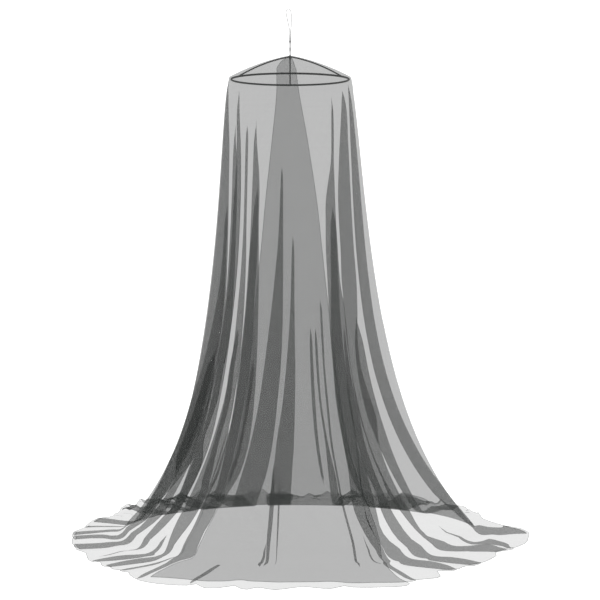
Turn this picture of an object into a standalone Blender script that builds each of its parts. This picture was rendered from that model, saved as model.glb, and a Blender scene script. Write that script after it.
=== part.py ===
"""Mosquito net canopy on a hoop frame, hung from one cord loop.

The origin is the hanging point, inside the top of the cord loop, and the floor that the hem lies on
is HANG_HEIGHT below it. The net is one length of cloth, wrapped once round the hoop with its two free
edges overlapping at the front (-Y). Angles run round the canopy from the front, positive to the right
(+X): 90 is the right side, 180 the back, 270 the left side and 360 the front again.
"""
import math

import bmesh
import bpy
from mathutils import Vector

# --- driving dimensions, in metres; heights are above the floor ---
HANG_HEIGHT = 2.700
CLOTH_THICKNESS = 0.0012

HOOP_RADIUS = 0.2985
HOOP_TUBE = 0.0035
HOOP_HEIGHT = 2.342
SPOKE_TUBE = 0.003
SPOKE_ANGLES = {"spoke_right": 60.0, "spoke_left": 300.0, "spoke_back": 180.0}
SEAT_GAP = 0.0003

APEX_RADIUS = 0.0075
APEX_HEIGHT = 2.4625
CONE_BULGE = 0.0115
NET_OVER_HOOP = 0.0135
WALL_FOOT_HEIGHT = 0.05
FLOOR_TURN = 0.045
FOOT_STEP = 0.01

HUB_RADIUS = 0.009
HUB_NECK = 0.0034
HUB_BOTTOM = 2.4450
HUB_NECK_TOP = 2.4660
HUB_SHOULDER_CLEARANCE = 0.00100
SPOKE_HUB_HEIGHT = 2.4570
SPOKE_HUB_SLOPE = 0.20
SPOKE_HUB_GAP = 0.0010
SPOKE_POINTS = 9

CORD_DIAMETER = 0.002
CORD_LEG_SPACING = 0.0023
CORD_STEP = 0.006
FITTING_BORE = 0.0026

# The hanging cord's route in the X-Z plane, as an offset from the canopy's axis and a height above the
# floor: up from the hub, round the loop and down again beside itself.
CORD_LEG = CORD_LEG_SPACING / 2.0
CORD_ROUTE = (
    (-CORD_LEG, HUB_NECK_TOP + SEAT_GAP), (-CORD_LEG, 2.500), (-CORD_LEG, 2.540), (-CORD_LEG, 2.572),
    (-0.0022, 2.590), (-0.0062, 2.610), (-0.0110, 2.634), (-0.0170, 2.662), (-0.0200, 2.680),
    (-0.0180, 2.692), (-0.0100, 2.699), (-0.0008, 2.694), (0.0048, 2.682), (0.0068, 2.662), (0.0066, 2.634),
    (0.0058, 2.610), (0.0034, 2.590), (CORD_LEG, 2.572), (CORD_LEG, 2.540), (CORD_LEG, 2.500),
    (CORD_LEG, HUB_NECK_TOP + SEAT_GAP),
)

# The pieces threaded on the cord's two legs, as (radius, height) down the outer side; each has a bore.
SLEEVE_PROFILE = (
    (FITTING_BORE, 2.5280), (0.0032, 2.5280), (0.0036, 2.5270), (0.0036, 2.5240), (0.0030, 2.5225),
    (0.0030, 2.5015), (0.0038, 2.5000), (0.0038, 2.4890), (0.0030, 2.4875), (0.0030, 2.4800),
    (FITTING_BORE, 2.4800),
)
BEAD_PROFILE = (
    (FITTING_BORE, 2.5400), (0.0036, 2.5396), (0.0046, 2.5372), (0.0050, 2.5340), (0.0046, 2.5308),
    (0.0036, 2.5287), (FITTING_BORE, 2.5283),
)
FERRULE_PROFILE = (
    (FITTING_BORE, 2.5720), (0.0030, 2.5720), (0.0034, 2.5700), (0.0036, 2.5560), (0.0038, 2.5440),
    (0.0034, 2.5403), (FITTING_BORE, 2.5403),
)

# --- the wall of the net: it swells just below the hoop, then widens steadily, then flares at the floor ---
WALL_SLOPE = 0.0585
WALL_SLOPE_SIDE = 0.0165
WALL_FADE = 0.481
WALL_FADE_SIDE = 0.019
WALL_SWELL = 0.014
WALL_SWELL_DROP = 0.12

# --- folds ---
PLEAT_DEPTH_HOOP = 0.006
PLEAT_DEPTH_WALL = 0.022
PLEAT_DEPTH_FLOOR = 0.0052
PLEAT_GROWTH_DROP = 0.6
FLOOR_EASE_HEIGHT = 0.35
PLEAT_FORMS_AT = 1.0
PLEAT_FOLDED_AT = 2.2
PANEL_GAP_APEX = 0.0020
PANEL_GAP_WALL = 0.0100
PANEL_GAP_FLOOR = 0.0090
PANEL_RAMP = 8.0
PANEL_LEAD = 1.5
LAYER_SLIP = 0.018

# Levels of the tables below: five heights, then the turn at the floor and the hem.
LEVELS = ("hoop", "high", "middle", "low", "foot", "turn", "hem")
LEVEL_HEIGHTS = (2.2, 1.6, 1.0, 0.5, 0.2)
TURN_LEVEL = LEVELS.index("turn")

# One row for each pleat, in order round the canopy: name, the side its outer flap opens to, whether it
# sits outside the wall (1) or half in it (0), its left edge and its right edge in degrees at each level.
FOLDS = (
    ("front_right_1", "left", 1,
     (37, 28, 26.5, 28.5, 31, 34.5, 28.5), (39, 36, 34.7, 35, 36, 37.5, 31)),
    ("front_right_2", "left", 0,
     (44, 37.3, 36, 36.8, 37.5, 43, 42), (45, 38.3, 37, 38.2, 41.5, 47, 48)),
    ("front_right_3", "right", 0,
     (51, 40, 38.8, 40.5, 43, 51, 51.5), (57.5, 51.4, 47.5, 47, 47, 55, 55)),
    ("front_right_4", "right", 0,
     (60.5, 54, 49.5, 49.5, 52, 62, 69), (61.5, 55, 52.5, 55.5, 55, 65, 73)),
    ("right_side_1", "right", 0,
     (66.5, 58, 56.6, 67, 78.5, 90, 92), (74, 68, 64.8, 75.5, 88.5, 96, 97)),
    ("right_side_2", "left", 0,
     (82, 84, 88, 91, 97, 106, 108), (83, 85, 89, 94, 103, 112, 114)),
    ("back_right_1", "right", 0,
     (117, 121, 127.5, 127.5, 128, 128, 126), (118, 122, 130, 131, 132, 132, 133)),
    ("back_right_2", "left", 0,
     (137, 142.5, 143.5, 141, 139, 140, 141), (138.5, 146.5, 150.5, 150, 149, 148, 149)),
    ("back_1", "left", 0,
     (176.5, 177.5, 177, 178.8, 180, 180, 179), (177.5, 178.5, 181, 184.5, 187, 187, 186)),
    ("back_2", "right", 0,
     (186.4, 185.8, 187, 189, 191.5, 192, 193), (187.4, 188.8, 194.3, 198.3, 200, 200, 201)),
    ("back_left_1", "left", 0,
     (210, 207, 204, 204, 205, 207, 208), (211, 211.5, 211.5, 211.5, 212, 213, 215)),
    ("back_left_2", "right", 0,
     (219, 217.5, 216, 214, 215, 216, 219), (220, 218.5, 219.5, 218.5, 219, 220, 224)),
    ("back_left_3", "left", 0,
     (229.5, 228, 226, 224, 222.5, 224, 228), (230.5, 231, 231, 231, 229, 229, 235)),
    ("back_left_4", "left", 0,
     (240, 240.5, 234.5, 234, 234, 236, 240), (241, 243, 242, 243, 243, 244, 247)),
    ("left_side", "left", 0,
     (267, 267, 282, 284, 279, 275, 272), (287, 298.3, 295.5, 293.5, 288, 281, 278)),
    ("front_left_1", "right", 0,
     (301, 299.8, 297.5, 296, 298.5, 291.5, 290.5), (302, 302.5, 306, 301, 303.4, 295.5, 293.5)),
    ("front_left_2", "left", 0,
     (305.5, 308, 309.5, 305, 308, 306.5, 309), (308, 318.5, 319, 312, 314, 308.5, 313)),
    ("front_left_3", "right", 1,
     (320.8, 322.6, 321.6, 316.5, 318, 316.3, 322.5), (321.8, 324.6, 326, 322, 322.8, 319, 326)),
    ("front_left_4", "left", 1,
     (328.5, 329.2, 328.4, 325, 325.5, 322, 329), (329.5, 335.3, 337.3, 333, 328, 323, 330)),
)

# The two free edges, in degrees: at the apex, half way down the cone, at the hoop, then at each level.
EDGE_TOP_LEVEL = -0.28
INNER_EDGE = (-36.0, -21.0, -11.2, -12.5, -20.0, -22.0, -25.0, -36.0, -41.0, -29.0)
OUTER_EDGE = (370.0, 367.5, 366.5, 368.5, 381.5, 385.2, 387.2, 390.0, 392.0, 384.5)

# Where the hem lies on the floor: angle, distance from the canopy's axis.
HEM_OUTLINE = (
    (-45.0, 1.04), (-30.0, 1.04), (-12.0, 1.05), (6.0, 1.06), (20.0, 1.07), (27.0, 1.17), (33.0, 1.20),
    (38.5, 1.13), (44.0, 1.14), (50.0, 1.10), (60.0, 1.13), (69.0, 1.11), (76.0, 1.18), (86.0, 1.22),
    (96.0, 1.245), (104.0, 1.18), (113.0, 1.22), (124.0, 1.25), (136.0, 1.29), (150.0, 1.36), (165.0, 1.28),
    (180.0, 1.25), (195.0, 1.28), (209.0, 1.36), (222.0, 1.32), (233.0, 1.17), (242.0, 1.18), (247.0, 1.21),
    (254.0, 1.15), (262.0, 1.13), (273.0, 1.11), (287.0, 1.09), (304.0, 1.14), (317.0, 1.16), (324.0, 1.21),
    (331.0, 1.25), (341.0, 1.25), (347.0, 1.215), (353.0, 1.21), (362.0, 1.225), (371.0, 1.215), (380.0, 1.24),
    (400.0, 1.24),
)

# A pleat's section, from its first edge to its last: share of its width, share of its depth.
PLEAT_SECTION = ((0.0, 0.0), (0.95, 0.04), (1.0, 0.42), (0.0, 0.58), (0.05, 0.96), (1.0, 1.0))

# Rows of the net from the apex down, in the profile's parameter (see profile_point).
CONE_ROWS = (0.0, 0.45, 1.0)
TURN_ROWS = (1.5, 2.0)
WALL_HEIGHTS = (2.22, 1.85, 1.45, 1.10, 0.82, 0.58, 0.38, 0.20, 0.05)
FLOOR_ROWS = (3.5, 4.0, 4.45, 5.0)
GAP_COLUMN_WIDTH = 13.5

COLLECTION = "mosquito_net_canopy"


# --- small helpers ---
def smooth(value):
    """Ease from 0 to 1."""
    value = min(max(value, 0.0), 1.0)
    return value * value * (3.0 - 2.0 * value)


def mix(start, end, share):
    return start + (end - start) * share


def curve_value(stops, values, position):
    """Catmull-Rom value at a position among increasing stops, held beyond both ends."""
    if position <= stops[0]:
        return values[0]
    if position >= stops[-1]:
        return values[-1]
    index = max(i for i in range(len(stops) - 1) if stops[i] <= position)
    before = max(index - 1, 0)
    after = min(index + 2, len(stops) - 1)
    span = stops[index + 1] - stops[index]
    share = (position - stops[index]) / span
    slope_start = (values[index + 1] - values[before]) / (stops[index + 1] - stops[before]) * span
    slope_end = (values[after] - values[index]) / (stops[after] - stops[index]) * span
    square = share * share
    cube = square * share
    return (values[index] * (2 * cube - 3 * square + 1) + slope_start * (cube - 2 * square + share)
            + values[index + 1] * (3 * square - 2 * cube) + slope_end * (cube - square))


def steps_value(stops, values, position):
    """Straight-line value at a position among increasing stops, held beyond both ends."""
    if position <= stops[0]:
        return values[0]
    for index in range(len(stops) - 1):
        if position <= stops[index + 1]:
            share = (position - stops[index]) / (stops[index + 1] - stops[index])
            return mix(values[index], values[index + 1], share)
    return values[-1]


# --- the surface that the net lies on before it is pleated ---
def contact_radius(angle):
    """Where the wall meets the floor: close in at the front, further out at the sides and back."""
    turn = math.radians(angle)
    return 0.8675 - 0.145 * math.cos(turn) + 0.05 * math.sin(turn) - 0.0625 * math.cos(2.0 * turn)


def wall_radius(angle, height):
    side = math.sin(math.radians(angle))
    slope = WALL_SLOPE + WALL_SLOPE_SIDE * side
    fade = WALL_FADE + WALL_FADE_SIDE * side
    drop = HOOP_HEIGHT - height
    top = HOOP_RADIUS + NET_OVER_HOOP
    swell = WALL_SWELL * (1.0 - math.exp(-max(drop, 0.0) / WALL_SWELL_DROP))
    flare = contact_radius(angle) - top - WALL_SWELL - slope * HOOP_HEIGHT
    faded = math.exp(-HOOP_HEIGHT / fade)
    share = (math.exp(-height / fade) - faded) / (1.0 - faded)
    return top + swell + slope * drop + flare * share


def hem_radius(angle):
    stops = [row[0] for row in HEM_OUTLINE]
    radii = [row[1] for row in HEM_OUTLINE]
    return curve_value(stops, radii, angle)


def cone_slope(share):
    """Fall of the cone for each metre outwards, at a share of the way from the apex to the hoop."""
    run = HOOP_RADIUS - APEX_RADIUS
    fall = APEX_HEIGHT - HOOP_HEIGHT - NET_OVER_HOOP
    return (fall - CONE_BULGE * 4.0 * (1.0 - 2.0 * share)) / run


def profile_point(angle, place, hem_shift=0.0):
    """Radius and height of the plain surface at an angle.

    The place runs 0-1 down the cone, 1-2 round the hoop, 2-3 down the wall, 3-4 round the turn at the
    floor and 4-5 out along the floor to the hem.
    """
    arc_start = math.pi / 2.0 - math.atan(cone_slope(1.0))
    arc_end = -math.atan(WALL_SLOPE + WALL_SWELL / WALL_SWELL_DROP)
    if place < 2.0:
        turn = arc_start if place < 1.0 else mix(arc_start, arc_end, place - 1.0)
        radius = HOOP_RADIUS + NET_OVER_HOOP * math.cos(turn)
        height = HOOP_HEIGHT + NET_OVER_HOOP * math.sin(turn)
        if place < 1.0:
            bulge = CONE_BULGE * 4.0 * place * (1.0 - place)
            return mix(APEX_RADIUS, radius, place), mix(APEX_HEIGHT, height, place) + bulge
        return radius, height
    wall_top = HOOP_HEIGHT + NET_OVER_HOOP * math.sin(arc_end)
    if place <= 3.0:
        height = mix(wall_top, WALL_FOOT_HEIGHT, place - 2.0)
        return wall_radius(angle, height), height
    foot = wall_radius(angle, WALL_FOOT_HEIGHT)
    foot_slope = (foot - wall_radius(angle, WALL_FOOT_HEIGHT + FOOT_STEP)) / FOOT_STEP
    corner = foot + foot_slope * WALL_FOOT_HEIGHT
    landing = corner + FLOOR_TURN
    ground = CLOTH_THICKNESS / 2.0
    if place <= 4.0:
        share = place - 3.0
        radius = foot * (1 - share) ** 2 + 2 * corner * share * (1 - share) + landing * share ** 2
        height = mix(WALL_FOOT_HEIGHT * (1 - share) ** 2, ground, share)
        return radius, max(height, ground)
    return mix(landing, hem_radius(angle) + hem_shift, place - 4.0), ground


def profile_normal(angle, place):
    """Outward and upward parts of the surface's normal at an angle."""
    step = 0.01
    radius_a, height_a = profile_point(angle, max(place - step, 0.0))
    radius_b, height_b = profile_point(angle, min(place + step, 5.0))
    length = math.hypot(radius_b - radius_a, height_b - height_a)
    return (height_a - height_b) / length, (radius_b - radius_a) / length


def level_of(place):
    """Position among the levels of the fold table: 0 at the hoop level, 6 at the hem."""
    if place >= 4.0:
        return TURN_LEVEL + place - 4.0
    height = profile_point(0.0, place)[1]
    heights = LEVEL_HEIGHTS + (0.0,)
    if height >= heights[0]:
        return 0.0
    index = max(i for i in range(len(heights) - 1) if heights[i] >= height)
    return index + (heights[index] - height) / (heights[index] - heights[index + 1])


# --- the columns of cloth at one row ---
def pleat_depth(place):
    """Depth of a pleat, from its inner to its outer layer."""
    if place >= 4.0:
        return PLEAT_DEPTH_FLOOR
    height = profile_point(0.0, place)[1]
    grown = smooth((HOOP_HEIGHT - height) / PLEAT_GROWTH_DROP)
    wall_depth = mix(PLEAT_DEPTH_HOOP, PLEAT_DEPTH_WALL, grown)
    return mix(PLEAT_DEPTH_FLOOR, wall_depth, smooth(height / FLOOR_EASE_HEIGHT))


def panel_gap(place):
    """Distance between the two front panels."""
    if place < 2.0:
        return mix(PANEL_GAP_APEX, PANEL_GAP_WALL, smooth(place / 2.0))
    if place >= 4.0:
        return PANEL_GAP_FLOOR
    return mix(PANEL_GAP_WALL, PANEL_GAP_FLOOR, smooth(place - 3.0))


def edge_angle(edge, place):
    """Angle of a free edge at a row."""
    if place < 1.0:
        return steps_value((0.0, 0.5, 1.0), edge[:3], place)
    if place < 2.0:
        return edge[2]
    stops = (EDGE_TOP_LEVEL,) + tuple(range(len(LEVELS)))
    height = profile_point(0.0, place)[1]
    level = level_of(place)
    if height > LEVEL_HEIGHTS[0]:
        level = EDGE_TOP_LEVEL * (height - LEVEL_HEIGHTS[0]) / (HOOP_HEIGHT - LEVEL_HEIGHTS[0])
    return curve_value(stops, edge[2:], level)


def pleat_edges(fold, place):
    level = level_of(place)
    stops = tuple(range(len(LEVELS)))
    return curve_value(stops, fold[3], level), curve_value(stops, fold[4], level)


def pleat_opening(width_degrees):
    """0 where a pleat has not yet formed, 1 where it is fully folded."""
    return smooth((width_degrees - PLEAT_FORMS_AT) / (PLEAT_FOLDED_AT - PLEAT_FORMS_AT))


def gap_columns():
    """How many plain columns lie between neighbouring pleats, counted where they are furthest apart."""
    counts = []
    for index in range(len(FOLDS) + 1):
        widest = 0.0
        for level in range(len(LEVELS)):
            start = FOLDS[index - 1][4][level] if index else INNER_EDGE[3 + level]
            end = FOLDS[index][3][level] if index < len(FOLDS) else OUTER_EDGE[3 + level]
            widest = max(widest, end - start)
        counts.append(max(0, math.ceil(widest / GAP_COLUMN_WIDTH) - 1))
    return counts


def row_of_cloth(place, gaps):
    """Angle, offset and hem shift of every column of cloth at one row, in order round the canopy."""
    depth = pleat_depth(place)
    centring = 0.5 * smooth(profile_point(0.0, place)[1] / FLOOR_EASE_HEIGHT)
    start = edge_angle(INNER_EDGE, place)
    end = edge_angle(OUTER_EDGE, place)
    columns = [[start, 0.0, 0.0]]
    for index, fold in enumerate(FOLDS + (None,)):
        if fold is None:
            section = [[end, 0.0, 0.0]]
        else:
            left, right = pleat_edges(fold, place)
            opening = pleat_opening(right - left)
            last = len(PLEAT_SECTION) - 1
            section = []
            for step, (along, across) in enumerate(PLEAT_SECTION):
                along = mix(step / last, along, opening)
                across = across if fold[1] == "left" else 1.0 - across
                across = mix(step / last if fold[1] == "left" else 1.0 - step / last, across, opening)
                sink = 0.0 if fold[2] else centring
                offset = depth * opening * (across - sink)
                slip = -LAYER_SLIP * opening * math.sin(math.pi * step / last)
                section.append([mix(left, right, along), offset, slip])
        before = columns[-1]
        count = gaps[index]
        for step in range(1, count + 1):
            share = step / (count + 1)
            columns.append([mix(before[0], section[0][0], share),
                            mix(before[1], section[0][1], smooth(share)), 0.0])
        columns.extend(section)
    spread_over_cone(columns, place)
    lift_outer_panel(columns, place)
    return columns


def spread_over_cone(columns, place):
    """On the cone the columns spread evenly towards the apex, and the pleats fade out."""
    if place >= 1.0:
        return
    first = columns[0][0]
    last = columns[-1][0]
    share = smooth(place)
    for index, column in enumerate(columns):
        even = mix(first, last, index / (len(columns) - 1))
        column[0] = mix(even, column[0], share)
        column[1] *= share


def lift_outer_panel(columns, place):
    """Where the two ends of the cloth overlap, the last one lies outside the first one."""
    overlap_from = edge_angle(INNER_EDGE, place) + 360.0
    gap = panel_gap(place)
    for column in columns:
        column[1] += gap * smooth((column[0] - overlap_from + PANEL_LEAD) / PANEL_RAMP + 1.0)


def net_rows():
    wall_top = profile_point(0.0, 2.0)[1]
    walls = [2.0 + (wall_top - height) / (wall_top - WALL_FOOT_HEIGHT) for height in WALL_HEIGHTS]
    return CONE_ROWS + TURN_ROWS + tuple(walls) + FLOOR_ROWS


def cloth_point(angle, offset, hem_shift, place):
    radius, height = profile_point(angle, place, hem_shift)
    outward, upward = profile_normal(angle, place)
    radius += offset * outward
    height += offset * upward
    turn = math.radians(angle)
    return Vector((radius * math.sin(turn), -radius * math.cos(turn), height - HANG_HEIGHT))


# --- making objects ---
def clear_scene():
    for old in list(bpy.data.objects):
        bpy.data.objects.remove(old, do_unlink=True)


def make_collection():
    collection = bpy.data.collections.new(COLLECTION)
    bpy.context.scene.collection.children.link(collection)
    return collection


def make_material(name, colour, roughness, metallic=0.0):
    material = bpy.data.materials.new(name)
    material.use_nodes = True
    shader = material.node_tree.nodes["Principled BSDF"]
    shader.inputs["Base Color"].default_value = (*colour, 1.0)
    shader.inputs["Roughness"].default_value = roughness
    shader.inputs["Metallic"].default_value = metallic
    return material


def add_object(collection, name, data, material):
    thing = bpy.data.objects.new(name, data)
    data.materials.append(material)
    collection.objects.link(thing)
    return thing


def make_net(collection, material):
    """The net: a loft of its rows of cloth, given its thickness by Solidify."""
    gaps = gap_columns()
    mesh = bmesh.new()
    grid = []
    for place in net_rows():
        row = [mesh.verts.new(cloth_point(angle, offset, shift, place))
               for angle, offset, shift in row_of_cloth(place, gaps)]
        grid.append(row)
    for upper, lower in zip(grid, grid[1:]):
        for index in range(len(upper) - 1):
            mesh.faces.new((upper[index], lower[index], lower[index + 1], upper[index + 1]))
    data = bpy.data.meshes.new("net")
    mesh.to_mesh(data)
    mesh.free()
    net = add_object(collection, "net", data, material)
    shell = net.modifiers.new("cloth thickness", "SOLIDIFY")
    shell.thickness = CLOTH_THICKNESS
    shell.offset = 0.0
    shell.use_even_offset = False
    return net


def make_hoop(collection, material):
    bpy.ops.mesh.primitive_torus_add(major_radius=HOOP_RADIUS, minor_radius=HOOP_TUBE, major_segments=72,
                                     minor_segments=10, location=(0.0, 0.0, HOOP_HEIGHT - HANG_HEIGHT))
    hoop = bpy.context.object
    hoop.name = "hoop_ring"
    hoop.data.materials.append(material)
    hoop.data.shade_smooth()
    for owner in list(hoop.users_collection):
        owner.objects.unlink(hoop)
    collection.objects.link(hoop)


def make_tube(collection, name, points, tube_radius, material, resolution=2):
    """A round bar along a list of points, with filled ends."""
    curve = bpy.data.curves.new(name, "CURVE")
    curve.dimensions = "3D"
    curve.bevel_depth = tube_radius
    curve.bevel_resolution = resolution
    curve.use_fill_caps = True
    spline = curve.splines.new("POLY")
    spline.points.add(len(points) - 1)
    for target, point in zip(spline.points, points):
        target.co = (*point, 1.0)
    return add_object(collection, name, curve, material)


def spoke_height(radius):
    """Height of a spoke's axis: it leaves the hub nearly level and bends down to the hoop."""
    bend = (SPOKE_HUB_HEIGHT - HOOP_HEIGHT - SPOKE_HUB_SLOPE * HOOP_RADIUS) / HOOP_RADIUS ** 2
    return SPOKE_HUB_HEIGHT - SPOKE_HUB_SLOPE * radius - bend * radius ** 2


def make_spokes(collection, material):
    """Three gently arched bars from the hub down to the hoop."""
    first = HUB_RADIUS + SPOKE_HUB_GAP
    slope = (spoke_height(HOOP_RADIUS - 0.01) - HOOP_HEIGHT) / 0.01
    last = HOOP_RADIUS - (HOOP_TUBE + SEAT_GAP) / math.hypot(1.0, slope)
    for name, angle in SPOKE_ANGLES.items():
        turn = math.radians(angle)
        points = []
        for index in range(SPOKE_POINTS):
            radius = mix(first, last, index / (SPOKE_POINTS - 1))
            points.append(Vector((radius * math.sin(turn), -radius * math.cos(turn),
                                  spoke_height(radius) - HANG_HEIGHT)))
        make_tube(collection, name, points, SPOKE_TUBE, material)


def turn_profile(collection, name, profile, material, segments=24):
    """A turned piece from (radius, height) pairs that run down its outer side; heights above the floor."""
    data = bpy.data.meshes.new(name)
    points = [(radius, 0.0, height - HANG_HEIGHT) for radius, height in profile]
    edges = [(index, index + 1) for index in range(len(points) - 1)]
    if profile[0][0] > 0.0:
        edges.append((len(points) - 1, 0))
    data.from_pydata(points, edges, [])
    piece = add_object(collection, name, data, material)
    screw = piece.modifiers.new("turned", "SCREW")
    screw.axis = "Z"
    screw.angle = math.tau
    screw.steps = segments
    screw.render_steps = segments
    screw.use_merge_vertices = True
    screw.merge_threshold = 0.00005
    return piece


def make_hub(collection, material):
    """The knob that the spokes meet in; the net's top edge lies on its sloping shoulder."""
    slope = cone_slope(0.0)
    drop = HUB_SHOULDER_CLEARANCE * math.hypot(1.0, slope)

    def shoulder(radius):
        return APEX_HEIGHT - (radius - APEX_RADIUS) * slope - drop

    profile = ((0.0, HUB_NECK_TOP), (HUB_NECK, HUB_NECK_TOP), (HUB_NECK, shoulder(HUB_NECK)),
               (HUB_RADIUS, shoulder(HUB_RADIUS)), (HUB_RADIUS, HUB_BOTTOM + 0.003),
               (HUB_RADIUS * 0.6, HUB_BOTTOM), (0.0, HUB_BOTTOM))
    turn_profile(collection, "hub", profile, material)


def smooth_route(route, step):
    """Evenly spaced points on the smooth curve through the route's own points."""
    stops = [0.0]
    for first, second in zip(route, route[1:]):
        stops.append(stops[-1] + math.dist(first, second))
    count = round(stops[-1] / step)
    across = [point[0] for point in route]
    heights = [point[1] for point in route]
    places = [stops[-1] * index / count for index in range(count + 1)]
    return [(curve_value(stops, across, place), curve_value(stops, heights, place)) for place in places]


def make_cord(collection, material):
    route = smooth_route(CORD_ROUTE, CORD_STEP)
    points = [Vector((across, 0.0, height - HANG_HEIGHT)) for across, height in route]
    make_tube(collection, "hanging_cord", points, CORD_DIAMETER / 2.0, material)


def make_fittings(collection, dark, grey):
    turn_profile(collection, "cord_sleeve", SLEEVE_PROFILE, grey)
    turn_profile(collection, "cord_bead", BEAD_PROFILE, dark)
    turn_profile(collection, "cord_ferrule", FERRULE_PROFILE, grey)


def main():
    clear_scene()
    collection = make_collection()
    net_cloth = make_material("net cloth", (0.045, 0.047, 0.046), 0.9)
    dark_metal = make_material("dark metal", (0.06, 0.06, 0.062), 0.45, 0.6)
    grey_fitting = make_material("grey fitting", (0.30, 0.30, 0.30), 0.5)
    pale_cord = make_material("pale cord", (0.72, 0.72, 0.72), 0.85)
    make_net(collection, net_cloth)
    make_hoop(collection, dark_metal)
    make_spokes(collection, dark_metal)
    make_hub(collection, dark_metal)
    make_cord(collection, pale_cord)
    make_fittings(collection, dark_metal, grey_fitting)


main()
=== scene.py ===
"""Looks of a mosquito net canopy: the sheer net, its hem, the hoop frame, the hanging cord and the stage.

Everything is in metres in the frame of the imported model, whose origin is the hanging point. Heights in
this file are above the floor that the hem lies on, and FLOOR is that floor's height in the frame. Angles
run round the canopy from the front (-Y), positive to the right (+X): 90 is the right side, 180 the back,
270 the left side and 360 the front again. The net is one length of cloth, wrapped once round the hoop
with its two free edges overlapping at the front.
"""

import math

import bmesh
import bpy
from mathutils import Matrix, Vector, noise


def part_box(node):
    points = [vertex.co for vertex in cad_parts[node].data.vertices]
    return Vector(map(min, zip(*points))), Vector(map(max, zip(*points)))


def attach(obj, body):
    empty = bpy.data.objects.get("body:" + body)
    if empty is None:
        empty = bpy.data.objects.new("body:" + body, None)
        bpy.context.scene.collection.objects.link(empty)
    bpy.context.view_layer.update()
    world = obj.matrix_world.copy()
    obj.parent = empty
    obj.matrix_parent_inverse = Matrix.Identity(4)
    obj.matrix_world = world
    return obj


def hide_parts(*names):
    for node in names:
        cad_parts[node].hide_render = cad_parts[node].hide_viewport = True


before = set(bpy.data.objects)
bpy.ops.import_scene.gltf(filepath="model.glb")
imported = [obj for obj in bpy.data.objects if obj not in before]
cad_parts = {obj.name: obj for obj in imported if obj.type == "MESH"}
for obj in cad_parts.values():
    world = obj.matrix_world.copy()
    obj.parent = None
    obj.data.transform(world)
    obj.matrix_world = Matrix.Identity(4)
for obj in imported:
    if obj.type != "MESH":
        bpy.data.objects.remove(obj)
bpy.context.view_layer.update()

bl_info = {
    "name": "Mosquito net canopy",
    "version": (1, 0, 0),
    "blender": (4, 5, 0),
    "location": "3D View > Sidebar > Canopy",
    "description": "Builds the looks of a mosquito net canopy on a hoop frame",
    "category": "Add Mesh",
}

# --- sizes that come from the frame ---
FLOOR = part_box("net")[0][2]
HOOP_LOW, HOOP_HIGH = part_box("hoop_ring")
HOOP_TUBE = (HOOP_HIGH[2] - HOOP_LOW[2]) / 2.0
HOOP_RADIUS = HOOP_HIGH[0] - HOOP_TUBE
HOOP_HEIGHT = (HOOP_HIGH[2] + HOOP_LOW[2]) / 2.0 - FLOOR

# --- the surface that the net lies on before it is pleated ---
CONTACT_RADIUS = 0.8675
CONTACT_BACK = 0.145
CONTACT_RIGHT = 0.05
CONTACT_SIDES = 0.0625
GROUND = 0.0006
APEX_RADIUS = 0.0075
APEX_HEIGHT = 2.4625
CONE_BULGE = 0.0115
NET_OVER_HOOP = 0.0135
WALL_FOOT_HEIGHT = 0.05
FLOOR_TURN = 0.045
FOOT_STEP = 0.01
WALL_SLOPE = 0.0585
WALL_SLOPE_SIDE = 0.0165
WALL_FADE = 0.481
WALL_FADE_SIDE = 0.019
WALL_SWELL = 0.014
WALL_SWELL_DROP = 0.12
SIDE_BULGE = 0.022
SIDE_BULGE_SET = 0.4
SIDE_BULGE_FOCUS = 8

# --- folds ---
PLEAT_DEPTH_HOOP = 0.006
PLEAT_DEPTH_FLOOR = 0.0052
PLEAT_GROWTH_DROP = 0.6
FLOOR_EASE_HEIGHT = 0.35
PANEL_GAP_APEX = 0.0020
PANEL_GAP_WALL = 0.0100
PANEL_GAP_FLOOR = 0.0045
PANEL_RAMP = 8.0
PANEL_LEAD = 1.5
LAYER_SLIP = 0.018

# Widths in degrees at which a pleat starts to form and is fully folded.
FORMS_AT = 0.25
FOLDED_AT = 0.8

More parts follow.
